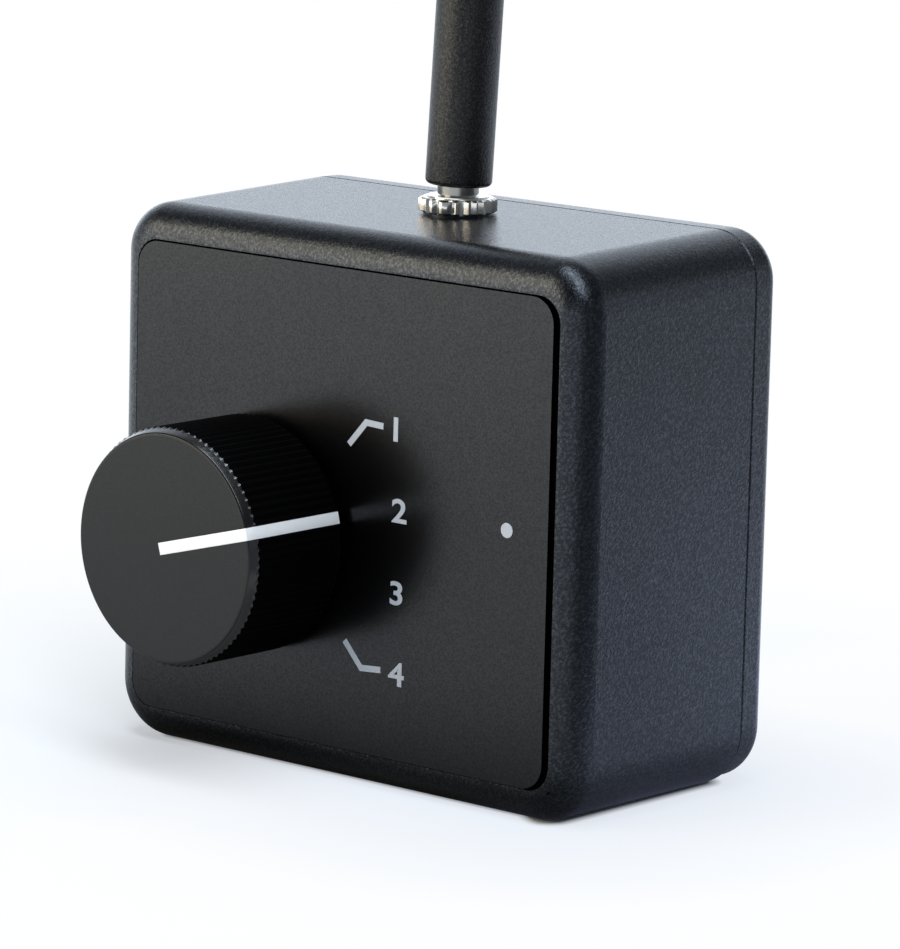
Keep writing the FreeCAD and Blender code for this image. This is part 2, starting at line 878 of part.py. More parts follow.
# Headless screw that bears on the shaft's flat, with a hexagon socket.
def knob_set_screw():
    body = Body("knob_set_screw")
    height = S.knob_standoff + S.set_screw_depth
    start = S.shaft_flat + S.thread_gap
    shank = body.sketch("YZ_Plane", offset=-start)
    circle(shank, 0, height, S.set_screw_radius)
    body.pad(shank, S.set_screw_length, down=True)
    socket = body.sketch("YZ_Plane", offset=-start - S.set_screw_length)
    hexagon(socket, 0, height, S.hex_key_radius)
    body.pocket(socket, S.hex_key_depth, up=True)
    place_turned(body.item)


# Steel spindle with a flat for the set screw and a groove for its clip.
def switch_shaft():
    body = Body("switch_shaft")
    radius = S.shaft_radius
    groove_low = bushing_end + S.shaft_gap
    groove_high = groove_low + S.clip_thickness + S.shaft_gap
    neck = radius - S.groove_depth
    body.turned([
        (0, -disc_back), (radius, -disc_back), (radius, groove_low), (neck, groove_low),
        (neck, groove_high), (radius, groove_high), (radius, shaft_top - S.groove_depth),
        (neck, shaft_top), (0, shaft_top),
    ])
    body.slot(-radius - 1, -S.shaft_flat, -radius, radius, shaft_top - S.shaft_flat_length, shaft_top)
    place_turned(body.item)


# Open ring that snaps into the shaft's groove in front of the bushing.
def shaft_clip():
    body = Body("shaft_clip")
    low = bushing_end + S.shaft_gap
    high = low + S.clip_thickness
    body.disc(S.clip_radius, low, high, bore=S.shaft_radius - S.groove_depth + S.thread_gap)
    body.slot(0, S.clip_radius + 1, -S.clip_mouth, S.clip_mouth, low, high)
    place_turned(body.item)


# Die-cast mounting plate and threaded bushing in one piece.
def switch_bushing():
    body = Body("switch_bushing")
    bore = S.shaft_radius + S.shaft_gap
    body.turned([
        (bore, -plate_back), (S.switch_radius, -plate_back), (S.switch_radius, -S.front_wall),
        (S.bushing_radius, -S.front_wall), (S.bushing_radius, bushing_end), (bore, bushing_end),
    ])
    place_on_selector(body.item)


# Lock washer with inner teeth, on the label under the nut.
def lock_washer():
    body = Body("lock_washer")
    outline = body.sketch(offset=-label_face)
    circle(outline, 0, 0, S.washer_radius)
    toothed(outline, S.bushing_radius + S.bushing_gap + S.washer_tooth, S.washer_tooth, S.washer_teeth)
    body.pad(outline, S.washer_thickness)
    place_on_selector(body.item)


# Hexagon nut that clamps the switch to the front wall.
def switch_nut():
    body = Body("switch_nut")
    low = -washer_front
    high = low + S.nut_thickness
    outline = body.sketch(offset=low)
    hexagon(outline, 0, 0, S.nut_flats / (2 * math.cos(math.radians(30))))
    circle(outline, 0, 0, S.bushing_radius + S.thread_gap)
    body.pad(outline, S.nut_thickness)
    corner = S.nut_flats / 2 + S.nut_bevel
    reach = 2 * S.nut_bevel
    body.groove([(corner, high), (corner + reach, high), (corner + reach, high - reach)])
    body.groove([(corner, low), (corner + reach, low), (corner + reach, low + reach)])
    place_on_selector(body.item)


# Ring with a row of notches that the ball clicks into.
def detent_ring():
    body = Body("detent_ring")
    low = -plate_back - S.ring_length
    body.disc(cup_bore - S.ring_gap, low, -plate_back, bore=S.ring_radius)
    count = S.detent_count.value
    first = S.rest_angle.value + 90
    spots = [polar_sizes(S.notch_centre, first + index * 360 / count) for index in range(int(count))]
    body.drill(spots, S.notch_radius, low, -plate_back)
    place_on_selector(body.item)


# Steel ball pushed outwards into the notches.
def detent_ball():
    ball = part("Sphere", "detent_ball", Radius=S.ball_radius)
    place_on_arm(ball, ball_centre)


def place_on_arm(thing, reach):
    """Puts a primitive on the rotor's arm, at a distance from the selector's axis."""
    angle = S.rest_angle + 90
    x = Size(math.cos(math.radians(angle.value)), f"cos({angle.text})") * reach
    y = Size(math.sin(math.radians(angle.value)), f"sin({angle.text})") * reach
    return place(thing, x - S.selector_left, front_y + ball_depth, y + S.selector_height)


# Small coil spring behind the ball.
def detent_spring():
    wire = number(S.spring_wire)
    low = number(S.spring_seat) + wire
    length = number(ball_centre) - number(S.ball_radius) - 2 * wire - low
    coil = number(S.spring_radius)
    path = Part.makeHelix(length / S.spring_turns.value, length, coil)
    section = Part.Wire(Part.makeCircle(wire, Vector(coil, 0, 0), Vector(0, 1, 0)))
    spring = Part.Wire(path).makePipeShell([section], True, True)
    spring.rotate(Vector(0, 0, 0), Vector(0, 1, 0), 90)
    spring.translate(Vector(low, 0, -number(ball_depth)))
    solid_from("detent_spring", spring, selector_placement(S.rest_angle.value + 90))


# Moulded rotor: hub on the shaft, arm that holds the ball, contact disc and stop lug.
def switch_rotor():
    body = Body("switch_rotor")
    half = S.arm_width / 2
    half_lug = S.stop_lug_angle.value / 2
    body.disc(S.hub_radius, -disc_back, -arm_front)
    body.disc(S.disc_radius, -disc_back, -disc_front)
    body.block(-half, half, 0, S.arm_reach, -disc_front, -arm_front)
    lug = body.sketch(offset=-disc_back)
    wedge(lug, S.hub_radius, S.disc_radius + S.stop_lug_height, 270 - half_lug, 270 + half_lug)
    body.pad(lug, S.disc_thickness)
    body.drill([(0, 0)], S.shaft_radius + S.thread_gap, -disc_back, -arm_front)
    pocket = body.sketch("XZ_Plane", offset=-S.spring_seat)
    circle(pocket, 0, -ball_depth, S.ball_radius + S.thread_gap)
    body.pocket(pocket, S.arm_reach)
    place_turned(body.item)


# Two bowed bronze strips under the rotor, each joining its common track to a position.
def rotor_wipers():
    sheet = S.wiper_sheet
    reach = cup_back - S.contact_gap
    middle = (S.common_track + S.position_track) / 2
    foot = S.wiper_foot
    tip = S.wiper_tip
    outline = [
        (middle - foot, disc_back), (middle + foot, disc_back),
        (S.position_track + tip, reach - sheet), (S.position_track + tip, reach),
        (S.position_track - tip, reach), (middle + foot - sheet, disc_back + sheet),
        (middle - foot + sheet, disc_back + sheet), (S.common_track + tip, reach),
        (S.common_track - tip, reach), (S.common_track - tip, reach - sheet),
    ]
    wide = number(S.wiper_width)
    spots = [Vector(number(radius), -wide / 2, -number(depth)) for radius, depth in outline]
    strip = Part.Face(Part.makePolygon(spots + spots[:1])).extrude(Vector(0, wide, 0))
    other = strip.copy()
    other.rotate(Vector(0, 0, 0), Vector(0, 0, 1), 180)
    group_of("rotor_wipers", [strip, other], selector_placement(S.rest_angle.value))


def position_angles(pole):
    """Angles of one pole's four contacts from its rest contact, first position first."""
    steps = range(int(S.steps_back.value), -int(S.steps_forward.value) - 1, -1)
    return [S.rest_angle.value + 180 * pole + S.detent_step.value * step for step in steps]


def contact_pins():
    """Every pin of the switch as its radius from the axis and its angle."""
    pins = []
    for pole in (0, 1):
        angles = position_angles(pole)
        pins.append((S.common_track, sum(angles) / len(angles)))
        pins += [(S.position_track, angle) for angle in angles]
    return pins


def contact_pads(grow=0.0):
    """The flat head of every contact, a curved track or a round pad, with its pin."""
    low = -number(cup_back) - number(S.contact_thickness)
    high = -number(cup_back)
    round_pad = number(S.contact_radius) + grow
    track = number(S.common_track)
    half = number(S.track_width) / 2 + grow
    past = S.track_end_angle.value + math.degrees(grow / track)
    pads = []
    for pole in (0, 1):
        angles = position_angles(pole)
        start, stop = min(angles) - past, max(angles) + past
        pads.append(sector(track - half, track + half, start, stop, low, high))
        for angle in angles:
            pad = disc(round_pad, low, high)
            pad.translate(polar(number(S.position_track), angle))
            pads.append(pad)
    return pads


# Fixed contacts: pads flush with the base, each on its own pin through the board.
def switch_contacts():
    contacts = []
    for pad, (track, angle) in zip(contact_pads(), contact_pins()):
        pin = disc(S.pin_radius, -cup_back - S.pin_length, -cup_back - S.contact_thickness / 2)
        pin.translate(polar(number(track), angle))
        contacts.append(pad.fuse(pin).removeSplitter())
    group_of("switch_contacts", contacts, selector_placement())


# Moulded cup round the rotor, with the two stops that its lug meets.
def switch_cup():
    body = Body("switch_cup")
    body.disc(S.switch_radius, -cup_back, -plate_back, bore=cup_bore)
    half_lug = S.stop_lug_angle.value / 2 + S.stop_gap_angle.value
    centre = S.rest_angle.value + 270
    first = centre + S.detent_step.value * S.steps_back.value + half_lug
    last = centre - S.detent_step.value * S.steps_forward.value - half_lug
    span = S.stop_block_angle.value
    stops = body.sketch(offset=-disc_back)
    for start in (first, last - span):
        wedge(stops, S.disc_radius + S.running_gap, cup_bore + S.cup_wall / 2, start, start + span)
    body.pad(stops, S.disc_thickness)
    place_on_selector(body.item)


# Moulded base that closes the switch and carries its contacts.
def switch_base():
    base = disc(S.switch_radius, -base_back, -cup_back)
    gap = number(S.pin_gap)
    base = base.cut(contact_pads(gap))
    for track, angle in contact_pins():
        hole = disc(S.pin_radius + S.pin_gap, -base_back - 1, -cup_back)
        hole.translate(polar(number(track), angle))
        base = base.cut(hole)
    solid_from("switch_base", base, selector_placement())


def resistor_rows():
    """Heights of the resistors on the board, evenly spaced about its middle."""
    count = int(S.resistor_count.value)
    return [S.resistor_spacing * (index - (count - 1) / 2) for index in range(count)]


def wire_holes():
    """Places of the three wires on the board's lower edge."""
    right = S.board_width / 2 - S.wire_hole_side
    low = S.wire_hole_low - S.board_height / 2
    return [(right - index * S.wire_pitch, low) for index in (2, 1, 0)]


# Board soldered to the switch's pins, with holes for pins, resistors and wires.
def circuit_board():
    body = Body("circuit_board")
    wide = S.board_width / 2
    tall = S.board_height / 2
    body.block(-wide, wide, -tall, tall, -board_back, -base_back)
    spots = [polar_sizes(track, angle) for track, angle in contact_pins()]
    for row in resistor_rows():
        spots += [(S.resistor_pitch / 2, row), (-S.resistor_pitch / 2, row)]
    body.drill(spots, S.board_hole, -board_back, -base_back)
    body.drill(wire_holes(), S.wire_radius + S.thread_gap, -board_back, -base_back)
    place_on_selector(body.item)


# Four resistors that tell the positions apart, lying on the back of the board.
def coding_resistors():
    level = -number(board_back) - number(S.resistor_radius) - number(S.thread_gap)
    half_pitch = number(S.resistor_pitch) / 2
    half_body = number(S.resistor_length) / 2
    lead = number(S.lead_radius)
    right = Vector(1, 0, 0)
    body = Part.makeCylinder(number(S.resistor_radius), 2 * half_body, Vector(-half_body, 0, level), right)
    pieces = [Part.makeCylinder(lead, 2 * half_pitch, Vector(-half_pitch, 0, level), right)]
    leg = -number(base_back) - number(S.pin_gap) - level
    for x in (-half_pitch, half_pitch):
        pieces.append(Part.makeSphere(lead, Vector(x, 0, level)))
        pieces.append(Part.makeCylinder(lead, leg, Vector(x, 0, level)))
    resistor = body.fuse(pieces).removeSplitter()
    rows = [resistor.translated(Vector(0, number(row), 0)) for row in resistor_rows()]
    group_of("coding_resistors", rows, selector_placement())


# Threaded metal sleeve of the panel jack, flanged under the box's top wall.
def jack_bushing():
    body = Body("jack_bushing")
    body.turned([
        (S.jack_bore, -jack_wall - S.jack_flange), (S.jack_flange_radius, -jack_wall - S.jack_flange),
        (S.jack_flange_radius, -jack_wall), (S.jack_thread_radius, -jack_wall),
        (S.jack_thread_radius, S.jack_end), (S.jack_bore, S.jack_end),
    ])
    place_on_jack(body.item)


# Round nut with coarse teeth, on the seat that stands up from the box's top.
def jack_nut():
    body = Body("jack_nut")
    radius = S.jack_nut_radius
    root = radius - S.jack_nut_tooth
    high = S.jack_nut_height
    bevel = S.jack_nut_chamfer
    foot = S.jack_nut_foot
    outline = body.sketch()
    toothed(outline, radius, S.jack_nut_tooth, S.jack_nut_teeth)
    circle(outline, 0, 0, S.jack_thread_radius + S.thread_gap)
    body.pad(outline, high)
    past = radius + S.jack_nut_tooth
    body.groove([(root, high), (past, high - 2 * bevel), (past, high)])
    body.groove([(root, 0), (past, 2 * foot), (past, 0)])
    place_on_jack(body.item)


# Moulded frame of the jack: bore for the plug, a window on each side for a leaf.
def jack_frame():
    body = Body("jack_frame")
    half = S.jack_frame_width / 2
    wide = S.leaf_width / 2 + S.leaf_slot
    outer = half - S.leaf_slot
    inner = outer - S.leaf_thickness - 2 * S.leaf_slot
    body.block(-half, half, -half, half, frame_low, frame_high)
    body.drill([(0, 0)], S.jack_frame_bore, frame_low + S.window_high, frame_high)
    body.slot(-half - 1, half + 1, -wide, wide, frame_low + S.window_low, frame_high - S.window_high)
    body.slot(inner, outer, -wide, wide, frame_low, frame_low + 2 * S.window_high)
    body.slot(-outer, -inner, -wide, wide, frame_low, frame_low + 2 * S.window_high)
    place_on_jack(body.item)


def leaf(label, side, touch):
    """A bent leaf spring on one side of the plug that reaches it at one height."""
    body = Body(label)
    near = S.plug_radius + S.contact_gap
    outer = S.jack_frame_width / 2 - 2 * S.leaf_slot
    thick = S.leaf_thickness
    bend = touch - S.leaf_run
    outline = [
        (outer, lug_end), (outer, bend), (near + thick, touch), (near + 3 * thick, touch + S.leaf_lip),
        (near + 2 * thick, touch + S.leaf_lip), (near, touch + S.leaf_flat), (near, touch - S.leaf_flat),
        (outer - thick, bend - S.leaf_flat), (outer - thick, lug_end),
    ]
    body.strip([(side * x, z) for x, z in outline], S.leaf_width)
    place_on_jack(body.item)


# Bronze leaf that touches the plug's ring.
def jack_ring_leaf():
    leaf("jack_ring_leaf", 1, (ring_high + ring_low) / 2)


# Bronze leaf that drops into the waist of the plug's tip.
def jack_tip_leaf():
    leaf("jack_tip_leaf", -1, tip_high - S.plug_tip * 0.35)


# Tinned ring under the bushing's flange with a tail down the back of the frame.
def jack_sleeve_lug():
    body = Body("jack_sleeve_lug")
    low = frame_high
    high = frame_high + S.leaf_thickness
    wide = S.lug_width / 2
    near = S.jack_frame_width / 2 + S.leaf_slot
    far = near + S.leaf_thickness
    body.disc(S.jack_flange_radius, low, high)
    body.block(-wide, wide, 0, far, low, high)
    body.block(-wide, wide, near, far, lug_end, high)
    body.drill([(0, 0)], S.jack_frame_bore, low, high)
    place_on_jack(body.item)


# Nickelled sleeve of the plug with its collar and the stem that the grip holds.
def plug_sleeve():
    body = Body("plug_sleeve")
    bore = S.plug_tube + S.thread_gap
    body.turned([
        (bore, sleeve_end), (S.plug_radius, sleeve_end), (S.plug_radius, collar_low),
        (S.plug_collar_radius, collar_low), (S.plug_collar_radius, collar_high),
        (S.plug_stem_radius, collar_high), (S.plug_stem_radius, collar_high + S.plug_stem),
        (bore, collar_high + S.plug_stem),
    ])
    place_on_jack(body.item)


# Ring contact between the two insulators.
def plug_ring():
    body = Body("plug_ring")
    bore = S.plug_core + S.thread_gap
    body.turned([
        (bore, ring_low), (S.plug_radius, ring_low), (S.plug_radius, ring_high), (bore, ring_high),
    ])
    place_on_jack(body.item)


# Black insulating rings, the upper one with a tube inside the sleeve.
def plug_insulators():
    bore = S.plug_core + S.thread_gap
    upper = turned_shape([
        (bore, ring_high), (S.plug_radius, ring_high), (S.plug_radius, sleeve_end),
        (S.plug_tube, sleeve_end), (S.plug_tube, collar_high + S.plug_stem),
        (bore, collar_high + S.plug_stem),
    ])
    lower = turned_shape([
        (bore, tip_high), (S.plug_radius, tip_high), (S.plug_radius, ring_low), (bore, ring_low),
    ])
    group_of("plug_insulators", [upper, lower], jack_placement())


# Tip contact with its waist and rounded nose, on a core that runs up through the plug.
def plug_tip():
    body = Body("plug_tip")
    length = S.plug_tip
    full = S.plug_radius - 0.03
    waist = S.plug_radius * 0.63
    body.turned([
        (0, tip_high - length), (full * 0.35, tip_high - length * 0.97),
        (full * 0.75, tip_high - length * 0.86), (full, tip_high - length * 0.66),
        (full, tip_high - length * 0.6), (waist, tip_high - length * 0.38),
        (waist, tip_high - length * 0.3), (full, tip_high - length * 0.12), (full, tip_high),
        (S.plug_core, tip_high), (S.plug_core, collar_high + S.plug_stem), (0, collar_high + S.plug_stem),
    ])
    place_on_jack(body.item)


# Moulded grip of the plug, leaning a little on its stem, with the hole for a cord.
def plug_grip():
    body = Body("plug_grip")
    radius = S.grip_radius
    edge = S.grip_edge
    length = S.grip_length
    body.turned([
        (S.cord_hole, 0), (radius - edge, 0), (radius - edge * 0.3, edge * 0.3), (radius, edge),
        (radius, length - S.grip_neck_length), (S.grip_neck_radius, length - edge),
        (S.grip_neck_radius - edge, length), (S.cord_hole, length),
    ])
    heading = math.radians(S.grip_heading.value)
    lean = Rotation(Vector(-math.sin(heading), math.cos(heading), 0), S.grip_lean.value)
    depth = S.plug_stem + S.thread_gap - S.grip_gap
    upright_again = lean.inverted()
    stem = body.sketch()
    stem.AttachmentOffset = Placement(upright_again.multVec(Vector(0, 0, number(depth))), upright_again)
    circle(stem, 0, 0, S.plug_stem_radius + S.thread_gap)
    body.pocket(stem, depth + 1)
    place(body.item, S.jack_right, front_y + S.jack_depth, seat_height + collar_high + S.grip_gap, lean)


def rounded_route(spots):
    """Straight runs joined by the largest even arcs that the shorter run allows."""
    edges = []
    start = spots[0]
    for before, corner, after in zip(spots, spots[1:], spots[2:]):
        incoming = (corner - before).normalize()
        outgoing = (after - corner).normalize()
        cut = 0.45 * min((corner - before).Length, (after - corner).Length)
        entry = corner - incoming * cut
        leave = corner + outgoing * cut
        turn = incoming.getAngle(outgoing)
        radius = cut / math.tan(turn / 2)
        inward = (outgoing - incoming).normalize()
        middle = corner + inward * (radius / math.cos(turn / 2) - radius)
        edges.append(Part.LineSegment(start, entry).toShape())
        edges.append(Part.Arc(entry, middle, leave).toShape())
        start = leave
    edges.append(Part.LineSegment(start, spots[-1]).toShape())
    return Part.Wire(edges)


def hookup_wire(label, start, hole):
    """One insulated wire from a jack lug down behind the board and into its hole."""
    across, low, deep = number(hole[0]), number(hole[1]), number(board_back)
    drop = start.y - low
    back = start.z
    spots = [
        start,
        Vector(start.x, start.y - 0.16 * drop, back),
        Vector(start.x, start.y - 0.4 * drop, (back - deep) / 2 - number(S.wire_slack)),
        Vector((start.x + across) / 2, start.y - 0.74 * drop, -deep - number(S.wire_loop)),
        Vector(across, low, -deep - number(S.wire_straight)),
        Vector(across, low, -number(base_back) - number(S.pin_gap)),
    ]
    route = rounded_route(spots)
    run = (spots[1] - spots[0]).normalize()
    section = Part.Wire(Part.makeCircle(number(S.wire_radius), spots[0], run))
    wire = route.makePipeShell([section], True, False)
    expected = math.pi * number(S.wire_radius) ** 2 * route.Length
    print(f"{label}: {wire.Volume / expected:.4f} of its section times its length")
    solid_from(label, wire, selector_placement())


# Three wires from the jack's lugs to the board.
def hookup_wires():
    x = number(S.jack_right + S.selector_left)
    y = number(seat_height + lug_end - S.selector_height) - number(S.pin_gap)
    depth = -number(S.jack_depth)
    side = number(S.jack_frame_width / 2 - 2 * S.leaf_slot - S.leaf_thickness / 2)
    behind = number(S.jack_frame_width / 2 + S.leaf_slot + S.leaf_thickness / 2)
    left, middle, right = wire_holes()
    hookup_wire("tip_wire", Vector(x - side, y, depth), left)
    hookup_wire("sleeve_wire", Vector(x, y, depth - behind), middle)
    hookup_wire("ring_wire", Vector(x + side, y, depth), right)


SUB_PARTS = [
    housing, rear_cover, cover_screws, front_label,
    knob, pointer_line, knob_set_screw, switch_shaft, shaft_clip,
    switch_bushing, lock_washer, switch_nut, detent_ring, detent_ball, detent_spring,
    switch_rotor, rotor_wipers, switch_cup, switch_base, switch_contacts,
    circuit_board, coding_resistors,
    jack_bushing, jack_nut, jack_frame, jack_ring_leaf, jack_tip_leaf, jack_sleeve_lug,
    plug_sleeve, plug_ring, plug_insulators, plug_tip, plug_grip,
    hookup_wires,
]


def finished_parts():
    """Every sub-part of the document: a body or a top-level shape of its own."""
    kinds = ("PartDesign::Body", "Part::Feature", "Part::Sphere")
    return [item for item in document.Objects if item.TypeId in kinds]


def main():
    for build in SUB_PARTS:
        build()
    document.recompute()
    for item in document.Objects:
        if "Invalid" in item.State or "Error" in item.State:
            raise ValueError(f"{item.Label} did not build")
    for item in finished_parts():
        if item.Shape.isNull() or not item.Shape.isValid():
            raise ValueError(f"{item.Label} is not a valid shape")
    os.makedirs("parts", exist_ok=True)
    for item in finished_parts():
        item.Shape.exportStep(f"parts/{item.Label}.step")
        box = item.Shape.BoundBox
        size = f"{box.XLength:.2f} x {box.YLength:.2f} x {box.ZLength:.2f}"
        print(f"{item.Label}: {len(item.Shape.Solids)} solids, {size}")


main()
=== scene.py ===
"""Looks of a desktop monitor selector: finishes, turned pieces, print, light and camera.

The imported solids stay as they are. Pieces that need knurls, rounder edges or print are
modelled here and stand in for their solids. Lengths are in metres, built from millimetres.
"""

from __future__ import annotations

import logging
import math
from dataclasses import dataclass
from enum import Enum

import bmesh
import bpy
from mathutils import Matrix, Vector

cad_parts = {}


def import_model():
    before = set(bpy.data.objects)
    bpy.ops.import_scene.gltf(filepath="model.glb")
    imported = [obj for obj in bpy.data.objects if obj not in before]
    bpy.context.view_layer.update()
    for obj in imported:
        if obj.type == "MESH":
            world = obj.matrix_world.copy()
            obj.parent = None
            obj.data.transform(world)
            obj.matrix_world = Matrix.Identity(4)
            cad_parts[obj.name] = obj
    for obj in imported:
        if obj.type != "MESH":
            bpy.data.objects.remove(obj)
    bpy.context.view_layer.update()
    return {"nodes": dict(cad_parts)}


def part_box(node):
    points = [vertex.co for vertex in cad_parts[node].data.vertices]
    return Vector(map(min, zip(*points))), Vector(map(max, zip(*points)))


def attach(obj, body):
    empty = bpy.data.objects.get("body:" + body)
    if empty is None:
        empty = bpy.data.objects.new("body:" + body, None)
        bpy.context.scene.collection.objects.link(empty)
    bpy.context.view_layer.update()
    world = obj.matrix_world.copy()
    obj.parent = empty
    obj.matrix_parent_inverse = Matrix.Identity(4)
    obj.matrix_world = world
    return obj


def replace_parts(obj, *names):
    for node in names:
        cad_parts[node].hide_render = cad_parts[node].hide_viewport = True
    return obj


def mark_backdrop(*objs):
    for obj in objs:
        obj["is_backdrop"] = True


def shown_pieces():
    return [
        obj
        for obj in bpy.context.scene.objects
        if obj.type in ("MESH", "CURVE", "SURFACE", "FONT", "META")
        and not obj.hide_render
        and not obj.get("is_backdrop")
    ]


log = logging.getLogger("selector")

MM = 0.001
Socket = bpy.types.NodeSocket
Solids = dict[str, bpy.types.Object]
Colour = tuple[float, float, float]
Point = tuple[float, float]
Point3 = tuple[float, float, float]
# Lowest and highest value
Span = tuple[float, float]
# Result at the start and at the stop of a change, then the start and the stop
Ramp = tuple[float, float, float, float]

WHITE: Colour = (1.0, 1.0, 1.0)
# Where nearly all values of a soft noise lie
USUAL: Span = (0.3, 0.7)
# Finer layers of noise in a grain, in slow mottling and in scratches
GRAINY = 2.0
MOTTLED = 3.0
SCRATCHED = 4.0
# Points closer together than this are one point
TINY = 1e-7
# Edges bent by more than this are rounded
SHARP = math.radians(28.0)
# Faces are shaded smooth over edges bent by less than these
SMOOTH = math.radians(40.0)
CRISP = math.radians(25.0)
SOFT_EDGE = 0.03 * MM
# Stands a flat drawing up, facing the front
UPRIGHT = Matrix.Rotation(math.pi / 2, 4, "X")
SELECTOR_X = -10.2 * MM
SELECTOR_Z = 23.4 * MM
# Middle and half size of the space that the label lies in, where the shell's sheen is turned off as
# painted shade
LABEL_SPACE: tuple[Point3, Point3] = (
    (0.03 * MM, -6.8 * MM, 27.03 * MM), (27.19 * MM, 0.85 * MM, 23.68 * MM),
)


class Body(Enum):
    """The rigid bodies that a piece can ride on."""

    CASE = "case"
    SELECTOR = "selector"
    PLUG = "plug"


class Direction(Enum):
    """Which way the long axis of a moulded grain runs, as turns about X, Y and Z in radians."""

    EVEN = (0.0, 0.0, 0.0)
    DIAGONAL = (0.75, 0.3, 0.0)


# Finishes


class NodeTree:
    """The nodes of one material or of the world, added and joined in order."""

    def __init__(self, owner: bpy.types.Material | bpy.types.World) -> None:
        """Starts from the nodes that a new owner comes with.

        Args:
            owner: The material or the world.
        """
        owner.use_nodes = True
        self.owner = owner
        self.tree = owner.node_tree
        self.shader = self.tree.nodes.get("Principled BSDF")

    def add(self, kind: str, inputs: dict | None = None, **settings: object) -> bpy.types.Node:
        """Adds a node.

        Args:
            kind: The node's type, without its common first word.
            inputs: Values or sockets for its inputs, by name or by number.
            settings: Properties of the node itself.

        Returns:
            The new node.
        """
        node = self.tree.nodes.new("ShaderNode" + kind)
        for name, value in settings.items():
            setattr(node, name, value)
        for key, value in (inputs or {}).items():
            self.feed(node.inputs[key], value)
        return node

    def feed(self, socket: Socket, value: object) -> None:
        """Sets a socket, or joins another socket to it.

        Args:
            socket: The input.
            value: A plain value, or the output that feeds it.
        """
        if isinstance(value, Socket):
            self.tree.links.new(value, socket)
        elif socket.type == "RGBA":
            socket.default_value = (*value, 1.0)
        else:
            socket.default_value = value

    def surface(self, values: dict) -> None:
        """Sets or joins the material's own sockets by their names."""
        for name, value in values.items():
            self.feed(self.shader.inputs[name], value)

    def spot(self) -> Socket:
        """The point on the piece, in metres."""
        return self.add("TexCoord").outputs["Object"]

    def place(self, size: Point3, turn: Point3 = (0.0, 0.0, 0.0)) -> Socket:
        """The point on the piece, turned, and counted in units of a pattern's size."""
        inputs = {"Vector": self.spot(), "Rotation": turn, "Scale": size}
        return self.add("Mapping", inputs, vector_type="TEXTURE").outputs["Vector"]

    def noise(self, point: Socket, detail: float = GRAINY, rough: float = 0.6) -> Socket:
        """Soft random values from 0 to 1, with a number of finer layers and their strength."""
        inputs = {"Vector": point, "Scale": 1.0, "Detail": detail, "Roughness": rough}
        return self.add("TexNoise", inputs).outputs["Fac"]

    def cloud(self, size: float, detail: float = GRAINY) -> Socket:
        """Soft random values in cells of an even size."""
        return self.noise(self.place((size,) * 3), detail)

    def ranged(self, value: Socket, low: float, high: float, start: float, stop: float) -> Socket:
        """Maps a value between start and stop to one between low and high, held within them."""
        inputs = {"Value": value, "From Min": start, "From Max": stop, "To Min": low, "To Max": high}
        return self.add("MapRange", inputs).outputs["Result"]

    def eased(self, value: Socket, ramp: Ramp) -> Socket:
        """Maps a value along a ramp with soft ends.

        Args:
            value: The input value.
            ramp: The ramp.

        Returns:
            The socket of the result.
        """
        result = self.ranged(value, *ramp)
        result.node.interpolation_type = "SMOOTHSTEP"
        return result

    def blend(self, share: Socket, low: Colour, high: Colour) -> Socket:
        """Mixes two colours: a share of 0 gives the first and 1 the second."""
        return self.add("Mix", {"Factor": share, 6: low, 7: high}, data_type="RGBA").outputs[2]

    def calculate(self, operation: str, first: Socket, second: Socket | float) -> Socket:
        """One step of arithmetic on two numbers."""
        return self.add("Math", {0: first, 1: second}, operation=operation).outputs[0]

    def vector(self, operation: str, first: Socket, second: Point3 = (0.0, 0.0, 0.0)) -> Socket:
        """One step of arithmetic on points."""
        return self.add("VectorMath", {0: first, 1: second}, operation=operation).outputs["Vector"]

    def length(self, point: Socket) -> Socket:
        """How far a point lies from zero."""
        return self.add("VectorMath", {0: point}, operation="LENGTH").outputs["Value"]

    def along(self, point: Socket, heading: Point3) -> Socket:
        """How far a point lies along a heading."""
        return self.add("VectorMath", {0: point, 1: heading}, operation="DOT_PRODUCT").outputs["Value"]

    def gap(self, centre: Point3, half: Point3) -> Socket:
        """How far the point on the piece lies outside an upright block, along each axis."""
        aside = self.vector("ABSOLUTE", self.vector("SUBTRACT", self.spot(), centre))
        return self.vector("SUBTRACT", aside, half)

    def outside(self, centre: Point3, half: Point3) -> Socket:
        """Tells the surface inside an upright block from the rest.

        Args:
            centre: The block's middle, in metres.
            half: Half of its size along each axis.

        Returns:
            The socket of a value that is 0 inside the block and 1 elsewhere.
        """
        parts = self.add("SeparateXYZ", {0: self.gap(centre, half)}).outputs
        widest = self.calculate("MAXIMUM", parts[0], self.calculate("MAXIMUM", parts[1], parts[2]))
        return self.calculate("GREATER_THAN", widest, 0.0)

    def relief(self, height: Socket, depth: float) -> Socket:
        """Turns a height from 0 to 1 into a bumped normal, where 1 stands for the depth."""
        return self.add("Bump", {"Height": height, "Distance": depth}).outputs["Normal"]

    def glow(self, colour: Socket | Colour, strength: Socket | float = 1.0) -> Socket:
        """Plain light of a colour."""
        return self.add("Emission", {"Color": colour, "Strength": strength}).outputs[0]

    def mixed(self, share: Socket, first: Socket, second: Socket) -> Socket:
        """Mixes two shaders: a share of 0 gives the first and 1 the second."""
        return self.add("MixShader", {0: share, 1: first, 2: second}).outputs[0]


